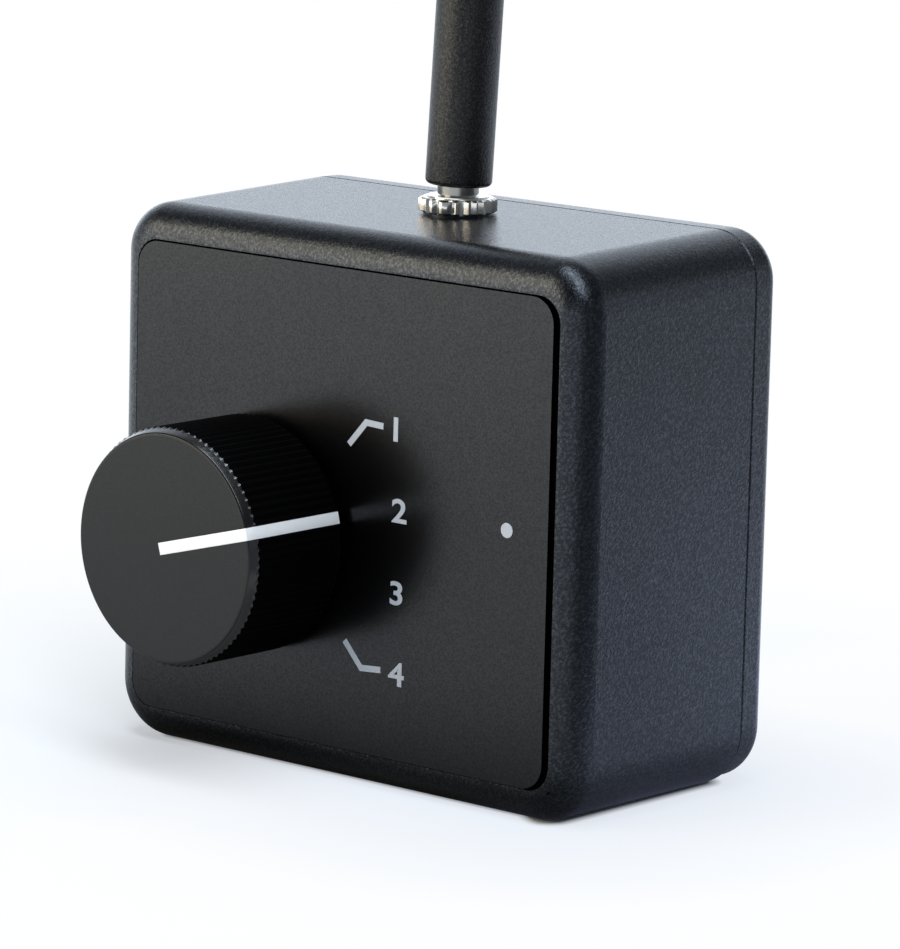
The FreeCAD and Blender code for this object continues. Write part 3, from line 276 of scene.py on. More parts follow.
@dataclass(frozen=True)
class MouldedGrain:
    """Moulded plastic with a pebbled grain, finer specks and duller hollows between."""

    name: str
    dark: Colour
    light: Colour
    cell: float
    depth: float
    roughness: Span
    sheen: Span
    heights: Span = (0.46, 0.68)
    direction: Direction = Direction.EVEN
    stretch: float = 1.0
    ragged: float = 0.55
    fine: float = 0.4
    speck: float = 0.5
    patch: float = 12.0 * MM
    tint: Colour = WHITE
    # Block in which the sheen is turned off, as painted shade
    painted_shade_block: tuple[Point3, Point3] | None = None

    def material(self) -> bpy.types.Material:
        """Builds the finish's material."""
        tree = NodeTree(bpy.data.materials.new(self.name))
        size = (self.cell, self.cell * self.stretch, self.cell)
        pebble = tree.noise(tree.place(size, self.direction.value), rough=self.ragged)
        speck = tree.cloud(self.cell * self.speck)
        coarse = tree.calculate("MULTIPLY", pebble, 1.0 - self.fine)
        small = tree.calculate("MULTIPLY", speck, self.fine)
        height = tree.calculate("ADD", coarse, small)
        sheen = tree.ranged(height, *self.sheen, *self.heights)
        # Painted shade: no sheen inside the block
        if self.painted_shade_block:
            sheen = tree.calculate("MULTIPLY", sheen, tree.outside(*self.painted_shade_block))
        tree.surface({
            "Base Color": tree.blend(tree.cloud(self.patch, MOTTLED), self.dark, self.light),
            "Roughness": tree.ranged(speck, *self.roughness, *USUAL),
            "Specular IOR Level": sheen,
            "Specular Tint": self.tint,
            "Normal": tree.relief(height, self.depth),
        })
        return tree.owner


@dataclass(frozen=True)
class Overlay:
    """Satin printed overlay with a fine even tooth."""

    name: str
    dark: Colour
    light: Colour
    tooth: float
    depth: float
    roughness: Span
    sheen: Span
    heights: Span = (0.35, 0.65)
    patch: float = 18.0 * MM
    tint: Colour = WHITE

    def material(self) -> bpy.types.Material:
        """Builds the finish's material."""
        tree = NodeTree(bpy.data.materials.new(self.name))
        tooth = tree.cloud(self.tooth)
        patch = tree.cloud(self.patch, MOTTLED)
        tree.surface({
            "Base Color": tree.blend(patch, self.dark, self.light),
            "Roughness": tree.ranged(patch, *self.roughness, *USUAL),
            "Specular IOR Level": tree.ranged(tooth, *self.sheen, *self.heights),
            "Specular Tint": self.tint,
            "Normal": tree.relief(tooth, self.depth),
        })
        return tree.owner


@dataclass(frozen=True)
class Anodised:
    """Black anodised aluminium with faint marks of turning about the selector's axis."""

    name: str
    dark: Colour
    light: Colour
    depth: float
    roughness: Span
    sheen: float
    centre: Point3 = (SELECTOR_X, 0.0, SELECTOR_Z)
    pitch: float = 0.12 * MM
    pore: float = 0.12 * MM
    mark_share: float = 0.6
    pore_share: float = 0.5

    def material(self) -> bpy.types.Material:
        """Builds the finish's material."""
        tree = NodeTree(bpy.data.materials.new(self.name))
        parts = tree.add("SeparateXYZ", {0: tree.vector("SUBTRACT", tree.spot(), self.centre)}).outputs
        radius = tree.length(tree.add("CombineXYZ", {0: parts[0], 2: parts[2]}).outputs[0])
        rings = tree.add("CombineXYZ", {0: tree.calculate("DIVIDE", radius, self.pitch)})
        marks = tree.noise(rings.outputs[0])
        pore = tree.cloud(self.pore, MOTTLED)
        height = tree.calculate("ADD", tree.calculate("MULTIPLY", marks, self.mark_share),
                                tree.calculate("MULTIPLY", pore, self.pore_share))
        tree.surface({
            "Base Color": tree.blend(pore, self.dark, self.light),
            "Roughness": tree.ranged(pore, *self.roughness, *USUAL),
            "Specular IOR Level": self.sheen,
            "Normal": tree.relief(height, self.depth),
        })
        return tree.owner


@dataclass(frozen=True)
class Metal:
    """Bare or plated metal with light scratches and a little dulling."""

    name: str
    dark: Colour
    light: Colour
    grain: float = 0.3 * MM
    depth: float = 0.002 * MM
    roughness: Span = (0.25, 0.4)
    stretch: float = 1.0
    patch: float = 2.0 * MM

    def material(self) -> bpy.types.Material:
        """Builds the finish's material."""
        tree = NodeTree(bpy.data.materials.new(self.name))
        grain = tree.noise(tree.place((self.grain, self.grain, self.grain * self.stretch)), SCRATCHED)
        dull = tree.cloud(self.patch, MOTTLED)
        tree.surface({
            "Base Color": tree.blend(dull, self.dark, self.light),
            "Metallic": 1.0,
            "Roughness": tree.ranged(dull, *self.roughness, *USUAL),
            "Normal": tree.relief(grain, self.depth),
        })
        return tree.owner


@dataclass(frozen=True)
class Moulding:
    """Plain plastic, enamel or insulation with soft mottling."""

    name: str
    dark: Colour
    light: Colour
    grain: float = 0.3 * MM
    depth: float = 0.004 * MM
    roughness: Span = (0.4, 0.55)
    coat: float = 0.0
    patch: float = 4.0 * MM

    def material(self) -> bpy.types.Material:
        """Builds the finish's material."""
        tree = NodeTree(bpy.data.materials.new(self.name))
        grain = tree.cloud(self.grain, MOTTLED)
        tree.surface({
            "Base Color": tree.blend(tree.cloud(self.patch, MOTTLED), self.dark, self.light),
            "Roughness": tree.ranged(grain, *self.roughness, *USUAL),
            "Coat Weight": self.coat,
            "Normal": tree.relief(grain, self.depth),
        })
        return tree.owner


@dataclass(frozen=True)
class WhiteTable:
    """White table top, pale to the camera with a soft shadow and painted bluish shade at the box's foot,
    and with painted glow and painted shade where the box mirrors it.

    The ramps named near count from the box's foot, those named away from the table's middle and
    those named across to the right of it, all in metres. The rest go by a direction.
    """

    name: str = "white_table"
    colour: Colour = (0.88, 0.89, 0.9)
    roughness: float = 0.9
    sheen: float = 0.1
    foot_centre: Point3 = (0.0, 6.575 * MM, 0.0)
    foot_half: Point3 = (24.2 * MM, 11.125 * MM, 1.0)
    # Bluish grey of the sheet at the box's foot: painted shade
    sheet_painted_shade: Colour = (0.84, 0.89, 0.97)
    sheet_near: Ramp = (0.0, 1.0, 0.0, 0.035)
    cover_near: Ramp = (0.0, 1.0, 0.01, 0.09)
    contact_across: Ramp = (0.0, 0.0018, 0.022, 0.025)
    contact_near: Ramp = (0.0, 0.82, 0.0, 0.0015)
    front_across: Ramp = (0.4, 1.0, -0.03, 0.0)
    # Glow of the table, though it is no lamp: painted light, growing paler far off and bluer towards the
    # rear right
    pale: Colour = (0.86, 0.93, 1.0)
    painted_glow_away: Ramp = (0.0, 0.5, 0.06, 0.4)
    painted_blue_glow: Colour = (0.58, 0.667, 1.0)
    painted_blue_glow_away: Ramp = (1.15, 0.24, 0.03, 0.25)
    painted_blue_glow_heading: Point3 = (0.648, 0.761, 0.0)
    painted_blue_glow_sideways: Ramp = (0.0, 1.0, 0.3, 0.8)
    # Where the table turns black as the box sees it, to the right and near the box's foot: painted shade
    painted_shade_heading: Point3 = (1.0, 0.0, 0.0)
    painted_shade_sideways: Ramp = (0.0, 0.77, 0.62, 0.88)
    painted_shade_away: Ramp = (0.0, 1.0, 0.04, 0.08)
    painted_shade_near: Ramp = (0.85, 0.0, 0.004, 0.046)

    def material(self) -> bpy.types.Material:
        """Builds the table's material."""
        tree = NodeTree(bpy.data.materials.new(self.name))
        tree.surface({"Base Color": self.colour, "Roughness": self.roughness,
                      "Specular IOR Level": self.sheen})
        near = tree.length(tree.vector("MAXIMUM", tree.gap(self.foot_centre, self.foot_half)))
        to_camera = tree.add("LightPath").outputs["Is Camera Ray"]
        both = tree.mixed(to_camera, self.mirrored(tree, near), self.seen(tree, near))
        tree.feed(tree.tree.nodes["Material Output"].inputs["Surface"], both)
        return tree.owner

    def seen(self, tree: NodeTree, near: Socket) -> Socket:
        """Lays a pale sheet over the table that leaves the shadow at the box's foot, and tints the sheet
        bluish grey there as painted shade.

        Args:
            tree: The table's nodes.
            near: The distance from the box's foot.

        Returns:
            The socket of what the camera sees.
        """
        sheet = tree.glow(tree.blend(tree.ranged(near, *self.sheet_near), self.sheet_painted_shade, WHITE))
        across = tree.add("SeparateXYZ", {0: tree.spot()}).outputs[0]
        clear = tree.calculate("SUBTRACT", near, tree.ranged(across, *self.contact_across))
        close = tree.calculate("MULTIPLY", tree.ranged(clear, *self.contact_near),
                               tree.ranged(across, *self.front_across))
        cover = tree.calculate("MAXIMUM", close, tree.ranged(near, *self.cover_near))
        return tree.mixed(cover, tree.shader.outputs[0], sheet)

    def mirrored(self, tree: NodeTree, near: Socket) -> Socket:
        """Makes the table glow as painted light, bluer to the rear right, and blackens it to the right
        and near the box's foot as painted shade.

        Args:
            tree: The table's nodes.
            near: The distance from the box's foot.

        Returns:
            The socket of what lights the box and shows in its sides.
        """
        away = tree.length(tree.spot())
        out = tree.vector("NORMALIZE", tree.spot())
        # Painted light: the table glows, paler far off and bluer towards the rear right
        sideways = tree.ranged(tree.along(out, self.painted_blue_glow_heading), *self.painted_blue_glow_sideways)
        light = tree.mixed(sideways, tree.glow(self.pale, tree.ranged(away, *self.painted_glow_away)),
                           tree.glow(self.painted_blue_glow, tree.ranged(away, *self.painted_blue_glow_away)))
        with_painted_glow = tree.add("AddShader", {0: tree.shader.outputs[0], 1: light}).outputs[0]
        # Painted shade: the table turns black to the right and near the box's foot
        shade = tree.calculate("MULTIPLY", tree.ranged(away, *self.painted_shade_away),
                               tree.ranged(tree.along(out, self.painted_shade_heading), *self.painted_shade_sideways))
        under = tree.calculate("MAXIMUM", shade, tree.ranged(near, *self.painted_shade_near))
        return tree.mixed(under, with_painted_glow, tree.glow(WHITE, 0.0))


# The shell's sheen is turned off around the label, as painted shade
SHELL_GRAIN = MouldedGrain(
    "shell_grain", dark=(0.0008, 0.0009, 0.0012), light=(0.0014, 0.0016, 0.002), cell=0.27 * MM,
    depth=0.05 * MM, roughness=(0.22, 0.32), sheen=(0.36, 1.0), direction=Direction.DIAGONAL,
    # The sheen's bluish tint is a painted bluish reflection
    stretch=1.5, tint=(0.8, 0.88, 1.0), painted_shade_block=LABEL_SPACE,
)
GRIP_GRAIN = MouldedGrain(
    "grip_grain", dark=(0.001, 0.001, 0.0012), light=(0.0018, 0.0018, 0.002), cell=0.24 * MM,
    depth=0.08 * MM, roughness=(0.26, 0.36), sheen=(0.27, 0.72),
)
LABEL_TOOTH = Overlay(
    "label_tooth", dark=(0.0005, 0.0005, 0.0006), light=(0.0008, 0.0008, 0.0009), tooth=0.18 * MM,
    depth=0.005 * MM, roughness=(0.2, 0.26), sheen=(0.3, 0.48), tint=(0.93, 0.95, 1.0),
)
KNOB_FACE = Anodised(
    "knob_face", dark=(0.0005, 0.0005, 0.0006), light=(0.0009, 0.0009, 0.001), depth=0.01 * MM,
    roughness=(0.22, 0.3), sheen=0.34,
)
# A darker copy of the knob's finish with almost no sheen: painted shade on the knurled side
KNOB_SIDE_PAINTED_SHADE = Anodised(
    "knob_side_painted_shade", dark=(0.0003, 0.0003, 0.0004), light=(0.0005, 0.0005, 0.0006), depth=0.002 * MM,
    roughness=(0.5, 0.6), sheen=0.05,
)
# A brighter copy of the knob's finish with strong sheen: painted highlight on the rim
KNOB_RIM_PAINTED_HIGHLIGHT = Anodised(
    "knob_rim_painted_highlight", dark=(0.0006, 0.0007, 0.0009), light=(0.001, 0.0012, 0.0014), depth=0.002 * MM,
    roughness=(0.16, 0.22), sheen=0.9,
)
NICKEL = Metal(
    "nickel_plate", dark=(0.64, 0.61, 0.56), light=(0.78, 0.76, 0.71), depth=0.0008 * MM,
    roughness=(0.1, 0.2), stretch=3.0,
)
# A darker copy of the nickel plate: painted shade of the dim room that the plug's contacts mirror
NICKEL_PAINTED_SHADE = Metal(
    "nickel_painted_shade", dark=(0.18, 0.17, 0.16), light=(0.28, 0.27, 0.25), roughness=(0.1, 0.2), stretch=3.0,
)
BLACK_STEEL = Metal(
    "black_steel", dark=(0.03, 0.03, 0.033), light=(0.06, 0.06, 0.065), depth=0.003 * MM,
    roughness=(0.3, 0.45),
)
DIE_CAST = Metal(
    "die_cast", dark=(0.4, 0.4, 0.42), light=(0.52, 0.52, 0.54), grain=0.4 * MM, depth=0.01 * MM,
    roughness=(0.4, 0.6),
)
STEEL = Metal("turned_steel", dark=(0.42, 0.42, 0.43), light=(0.56, 0.56, 0.57))
BRONZE = Metal("spring_bronze", dark=(0.55, 0.34, 0.16), light=(0.7, 0.47, 0.24))
POINTER_WHITE = Moulding("pointer_white", dark=(0.87, 0.87, 0.87), light=(0.92, 0.92, 0.92))
PRINT_INK = Moulding(
    "print_ink", dark=(0.4, 0.43, 0.48), light=(0.46, 0.49, 0.55), grain=0.2 * MM, depth=0.003 * MM,
)
ACETAL = Moulding("acetal", dark=(0.7, 0.69, 0.63), light=(0.8, 0.79, 0.74))
BLACK_MOULDING = Moulding("black_moulding", dark=(0.012, 0.012, 0.013), light=(0.02, 0.02, 0.021))
PHENOLIC = Moulding(
    "phenolic", dark=(0.16, 0.075, 0.03), light=(0.26, 0.13, 0.06), roughness=(0.35, 0.5),
)
BOARD_GREEN = Moulding(
    "board_green", dark=(0.01, 0.1, 0.035), light=(0.02, 0.16, 0.06), roughness=(0.2, 0.35),
)
RESISTOR_TAN = Moulding("resistor_tan", dark=(0.5, 0.36, 0.2), light=(0.62, 0.47, 0.28), coat=0.6)
RED_LEAD = Moulding("red_insulation", dark=(0.42, 0.015, 0.012), light=(0.55, 0.025, 0.02))
WHITE_LEAD = Moulding("white_insulation", dark=(0.68, 0.68, 0.65), light=(0.78, 0.78, 0.75))
BLACK_LEAD = Moulding("black_insulation", dark=(0.015, 0.015, 0.016), light=(0.025, 0.025, 0.026))

Finish = MouldedGrain | Overlay | Anodised | Metal | Moulding


class Finisher:
    """Makes each finish's material once and puts it on pieces."""

    def __init__(self) -> None:
        """Starts with no material made."""
        self.made: dict[str, bpy.types.Material] = {}

    def material(self, finish: Finish) -> bpy.types.Material:
        """The material of a finish, made when it is first asked for.

        Args:
            finish: The finish.

        Returns:
            Its material.
        """
        if finish.name not in self.made:
            self.made[finish.name] = finish.material()
        return self.made[finish.name]

    def dress(self, piece: bpy.types.Object, finish: Finish) -> None:
        """Gives a piece one finish all over.

        Args:
            piece: The mesh object.
            finish: The finish.
        """
        piece.data.materials.clear()
        piece.data.materials.append(self.material(finish))
        log.info("%s is finished in %s", piece.name, finish.name)

    def dress_solids(self, nodes: Solids, finishes: dict[str, Finish]) -> None:
        """Gives each named solid its finish."""
        for name, finish in finishes.items():
            self.dress(nodes[name], finish)


# Modelling


def start_piece() -> None:
    """Leaves edit mode and deselects everything before a new primitive."""
    if bpy.context.object and bpy.context.object.mode != "OBJECT":
        bpy.ops.object.mode_set(mode="OBJECT")
    bpy.ops.object.select_all(action="DESELECT")


def choose(piece: bpy.types.Object, test: object) -> None:
    """Selects the vertices of a piece in edit mode that pass a test.

    Args:
        piece: The object in edit mode.
        test: A function that takes a vertex's place.
    """
    bpy.ops.mesh.select_mode(type="VERT")
    mesh = bmesh.from_edit_mesh(piece.data)
    for vertex in mesh.verts:
        vertex.select = bool(test(vertex.co))
    mesh.select_flush(True)
    mesh.select_flush(False)
    bmesh.update_edit_mesh(piece.data)


def finish_piece(piece: bpy.types.Object, place: Matrix, edge: float = 0.0,
                 smooth: float = SMOOTH) -> bpy.types.Object:
    """Cleans a piece, rounds its edges and puts its place into its mesh.

    Args:
        piece: The object, modelled about the scene's origin.
        place: Where it goes.
        edge: Width of the rounding on sharp edges, in metres.
        smooth: Angle up to which faces are shaded smooth, in radians.

    Returns:
        The same object, unturned at the scene's origin.
    """
    if piece.mode != "EDIT":
        bpy.context.view_layer.objects.active = piece
        bpy.ops.object.mode_set(mode="EDIT")
    bpy.ops.mesh.select_all(action="SELECT")
    bpy.ops.mesh.remove_doubles(threshold=TINY)
    bpy.ops.mesh.normals_make_consistent(inside=False)
    bpy.ops.object.mode_set(mode="OBJECT")
    if edge:
        rounding = piece.modifiers.new("edges", "BEVEL")
        rounding.width = edge
        rounding.segments = 2
        rounding.limit_method = "ANGLE"
        rounding.angle_limit = SHARP
        bpy.ops.object.modifier_apply(modifier=rounding.name)
    piece.matrix_world = place
    bpy.ops.object.transform_apply(location=True, rotation=True, scale=True)
    bpy.ops.object.shade_smooth_by_angle(angle=smooth)
    piece.select_set(False)
    return piece


class Lathe:
    """Turns a ring up a profile about the scene's Z axis, in edit mode."""

    def __init__(self, name: str, points: int) -> None:
        """Sets the piece's name and the number of points round it.

        Args:
            name: The piece's name.
            points: Points in each ring.
        """
        self.name = name
        self.points = points
        self.piece: bpy.types.Object | None = None

    def turn(self, profile: list[Point], capped: bool = True) -> Lathe:
        """Draws the profile's rings one after another.

        Args:
            profile: Radius and height of each ring, in metres.
            capped: Whether the first and the last ring are filled.

        Returns:
            The lathe, with its piece in edit mode.
        """
        start_piece()
        radius, height = profile[0]
        bpy.ops.mesh.primitive_circle_add(vertices=self.points, radius=radius)
        self.piece = bpy.context.object
        self.piece.name = self.name
        bpy.ops.object.mode_set(mode="EDIT")
        bpy.ops.mesh.select_mode(type="VERT")
        bpy.ops.mesh.select_all(action="SELECT")
        bpy.ops.transform.translate(value=(0.0, 0.0, height))
        if capped:
            bpy.ops.mesh.edge_face_add()
            choose(self.piece, lambda spot: True)
        for next_radius, next_height in profile[1:]:
            bpy.ops.mesh.extrude_edges_move(
                TRANSFORM_OT_translate={"value": (0.0, 0.0, next_height - height)})
            share = next_radius / radius
            middle = (0.0, 0.0, next_height)
            bpy.ops.transform.resize(value=(share, share, 1.0), center_override=middle)
            radius, height = next_radius, next_height
        if capped:
            bpy.ops.mesh.edge_face_add()
        return self

    def notch(self, low: float, high: float, share: float) -> Lathe:
        """Draws every second point between two heights inwards, which makes teeth.

        Args:
            low: The lower height.
            high: The upper height.
            share: The root's radius over the present radius.

        Returns:
            The lathe.
        """
        step = 2.0 * math.pi / self.points

        def odd(spot: Vector) -> bool:
            """Whether a point is a second one that lies between the heights."""
            index = round(math.atan2(spot.y, spot.x) / step)
            return index % 2 == 1 and low - TINY <= spot.z <= high + TINY

        choose(self.piece, odd)
        bpy.ops.transform.resize(value=(share, share, 1.0), center_override=(0.0, 0.0, 0.0))
        return self

    def done(self, place: Matrix, edge: float = 0.0, smooth: float = SMOOTH) -> bpy.types.Object:
        """Finishes the piece, as finish_piece says."""
        return finish_piece(self.piece, place, edge, smooth)


def turn_in_plane(angle: float, about: Vector) -> None:
    """Turns what is selected anticlockwise in the local XY plane, by an angle in radians."""
    bpy.ops.transform.rotate(value=-angle, orient_axis="Z", center_override=about)


def heading(run: Vector) -> float:
    """The angle of a run in the XY plane, in radians from +X."""
    return math.atan2(run.y, run.x)


def lean_edge(bend: float, about: Vector, share: float) -> None:
    """Turns the selected end edge by half of the line's bend and stretches it by a share."""
    turn_in_plane(bend / 2.0, about)
    bpy.ops.transform.resize(value=(share, share, 1.0), center_override=about)


def ribbon(name: str, spots: list[Point], width: float, thickness: float, place: Matrix,
           edge: float = 0.0) -> bpy.types.Object:
    """A flat strip of even width along a bent line, with mitred corners.

    Args:
        name: The piece's name.
        spots: The line's points on the local plane, in metres.
        width: The strip's width.
        thickness: How far it stands up from the plane.
        place: Where it goes.
        edge: Width of the rounding on its edges.

    Returns:
        The finished object.
    """
    line = [Vector((x, y, 0.0)) for x, y in spots]
    runs = [after - before for before, after in zip(line, line[1:])]
    start_piece()
    bpy.ops.mesh.primitive_plane_add(size=width)
    piece = bpy.context.object
    piece.name = name
    bpy.ops.object.mode_set(mode="EDIT")
    share = runs[0].length / width
    bpy.ops.transform.resize(value=(share, 1.0, 1.0), center_override=(-width / 2.0, 0.0, 0.0))
    bpy.ops.transform.translate(value=(width / 2.0, 0.0, 0.0))
    choose(piece, lambda spot: spot.x > runs[0].length / 2.0)
    end = Vector((runs[0].length, 0.0, 0.0))
    level = Matrix.Rotation(-heading(runs[0]), 3, "Z")
    for run, after in zip(runs, runs[1:]):
        bend = heading(after) - heading(run)
        lean_edge(bend, end, 1.0 / math.cos(bend / 2.0))
        bpy.ops.mesh.extrude_edges_move(TRANSFORM_OT_translate={"value": level @ after})
        end = end + level @ after
        lean_edge(bend, end, math.cos(bend / 2.0))
    bpy.ops.mesh.select_all(action="SELECT")
    turn_in_plane(heading(runs[0]), Vector())
    bpy.ops.transform.translate(value=line[0])
    bpy.ops.mesh.extrude_region_move(TRANSFORM_OT_translate={"value": (0.0, 0.0, thickness)})
    return finish_piece(piece, place, edge)


# Places shared by the sub-assemblies


@dataclass
class Layout:
    """Where the selector box's main axes and planes are, as in the solids."""

    front: float
    label: float
    seat: float
    selector_x: float = SELECTOR_X
    selector_z: float = SELECTOR_Z
    rest_angle: float = math.radians(15.0)
    jack_x: float = 0.5 * MM
    jack_y: float = 8.35 * MM

    @classmethod
    def of_frame(cls) -> Layout:
        """Reads the front, the label's face and the nut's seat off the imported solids."""
        return cls(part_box("housing")[0].y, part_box("front_label")[0].y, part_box("jack_nut")[0].z)

    def on_label(self) -> Matrix:
        """Local X right, Y up and Z out of the label's face."""
        return Matrix.Translation((0.0, self.label, 0.0)) @ UPRIGHT

    def on_selector(self) -> Matrix:
        """Local X along the pointer and Z out along the selector's axis."""
        spot = Matrix.Translation((self.selector_x, self.front, self.selector_z))
        return spot @ UPRIGHT @ Matrix.Rotation(self.rest_angle, 4, "Z")

    def on_jack(self) -> Matrix:
        """Local Z up along the jack's axis, from the flat under its nut."""
        return Matrix.Translation((self.jack_x, self.jack_y, self.seat))


# Sub-assemblies


@dataclass
class Case:
    """The moulded shell, its cover and screws, and the label with its print."""

    layout: Layout
    finisher: Finisher
    stroke: float = 0.62 * MM
    ink: float = 0.02 * MM
    digit_height: float = 2.35 * MM
    digit_share: float = 0.72
    digit_growth: float = 0.06 * MM
    digit_stretch: float = 1.25
    rows: tuple[float, ...] = (35.7 * MM, 27.85 * MM, 19.8 * MM, 11.9 * MM)
    digits_x: float = 6.9 * MM
    dot: Point = (21.3 * MM, 27.9 * MM)
    dot_radius: float = 0.72 * MM
    dot_points: int = 32
    upper_tick: tuple[Point, ...] = (
        (1.25 * MM, 33.5 * MM), (3.4 * MM, 35.9 * MM), (5.6 * MM, 35.8 * MM),
    )
    lower_tick: tuple[Point, ...] = (
        (1.2 * MM, 14.2 * MM), (3.4 * MM, 11.8 * MM), (5.9 * MM, 12.0 * MM),
    )

    def build(self, nodes: Solids) -> None:
        """Dresses the solids and prints the label.

        Args:
            nodes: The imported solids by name.
        """
        self.finisher.dress_solids(nodes, {
            "housing": SHELL_GRAIN, "rear_cover": SHELL_GRAIN, "cover_screws": BLACK_STEEL,
            "front_label": LABEL_TOOTH,
        })
        plane = self.layout.on_label()
        marks = [
            ribbon("tick_upper", list(self.upper_tick), self.stroke, self.ink, plane),
            ribbon("tick_lower", list(self.lower_tick), self.stroke, self.ink, plane),
            self.print_dot(plane),
        ]
        marks += [self.print_digit(str(row + 1), height, plane) for row, height in enumerate(self.rows)]
        for mark in marks:
            self.finisher.dress(mark, PRINT_INK)
            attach(mark, Body.CASE.value)

    def print_dot(self, plane: Matrix) -> bpy.types.Object:
        """Prints the round mark that shows the usual position.

        Args:
            plane: The label's plane.

        Returns:
            The dot.
        """
        lathe = Lathe("print_dot", self.dot_points)
        lathe.turn([(self.dot_radius, 0.0), (self.dot_radius, self.ink)])
        return lathe.done(plane @ Matrix.Translation((*self.dot, 0.0)))

    def print_digit(self, digit: str, height: float, plane: Matrix) -> bpy.types.Object:
        """Prints one plain number.

        Args:
            digit: The number.
            height: Height of its middle above the desk.
            plane: The label's plane.

        Returns:
            The printed number.
        """
        start_piece()
        bpy.ops.object.text_add()
        text = bpy.context.object
        text.data.body = digit
        text.data.size = self.digit_height / self.digit_share
        text.data.extrude = self.ink / 2.0
        text.data.offset = self.digit_growth
        bpy.ops.object.convert(target="MESH")
        piece = bpy.context.object
        piece.name = "number_" + digit
        low = min(vertex.co.y for vertex in piece.data.vertices)
        high = max(vertex.co.y for vertex in piece.data.vertices)
        left = min(vertex.co.x for vertex in piece.data.vertices)
        share = self.digit_height / (high - low)
        spot = Matrix.Translation((self.digits_x, height, self.ink / 2.0))
        size = Matrix.Diagonal((share * self.digit_stretch, share, 1.0, 1.0))
        centre = Matrix.Translation((-left, -(low + high) / 2.0, 0.0))
        return finish_piece(piece, plane @ spot @ size @ centre)


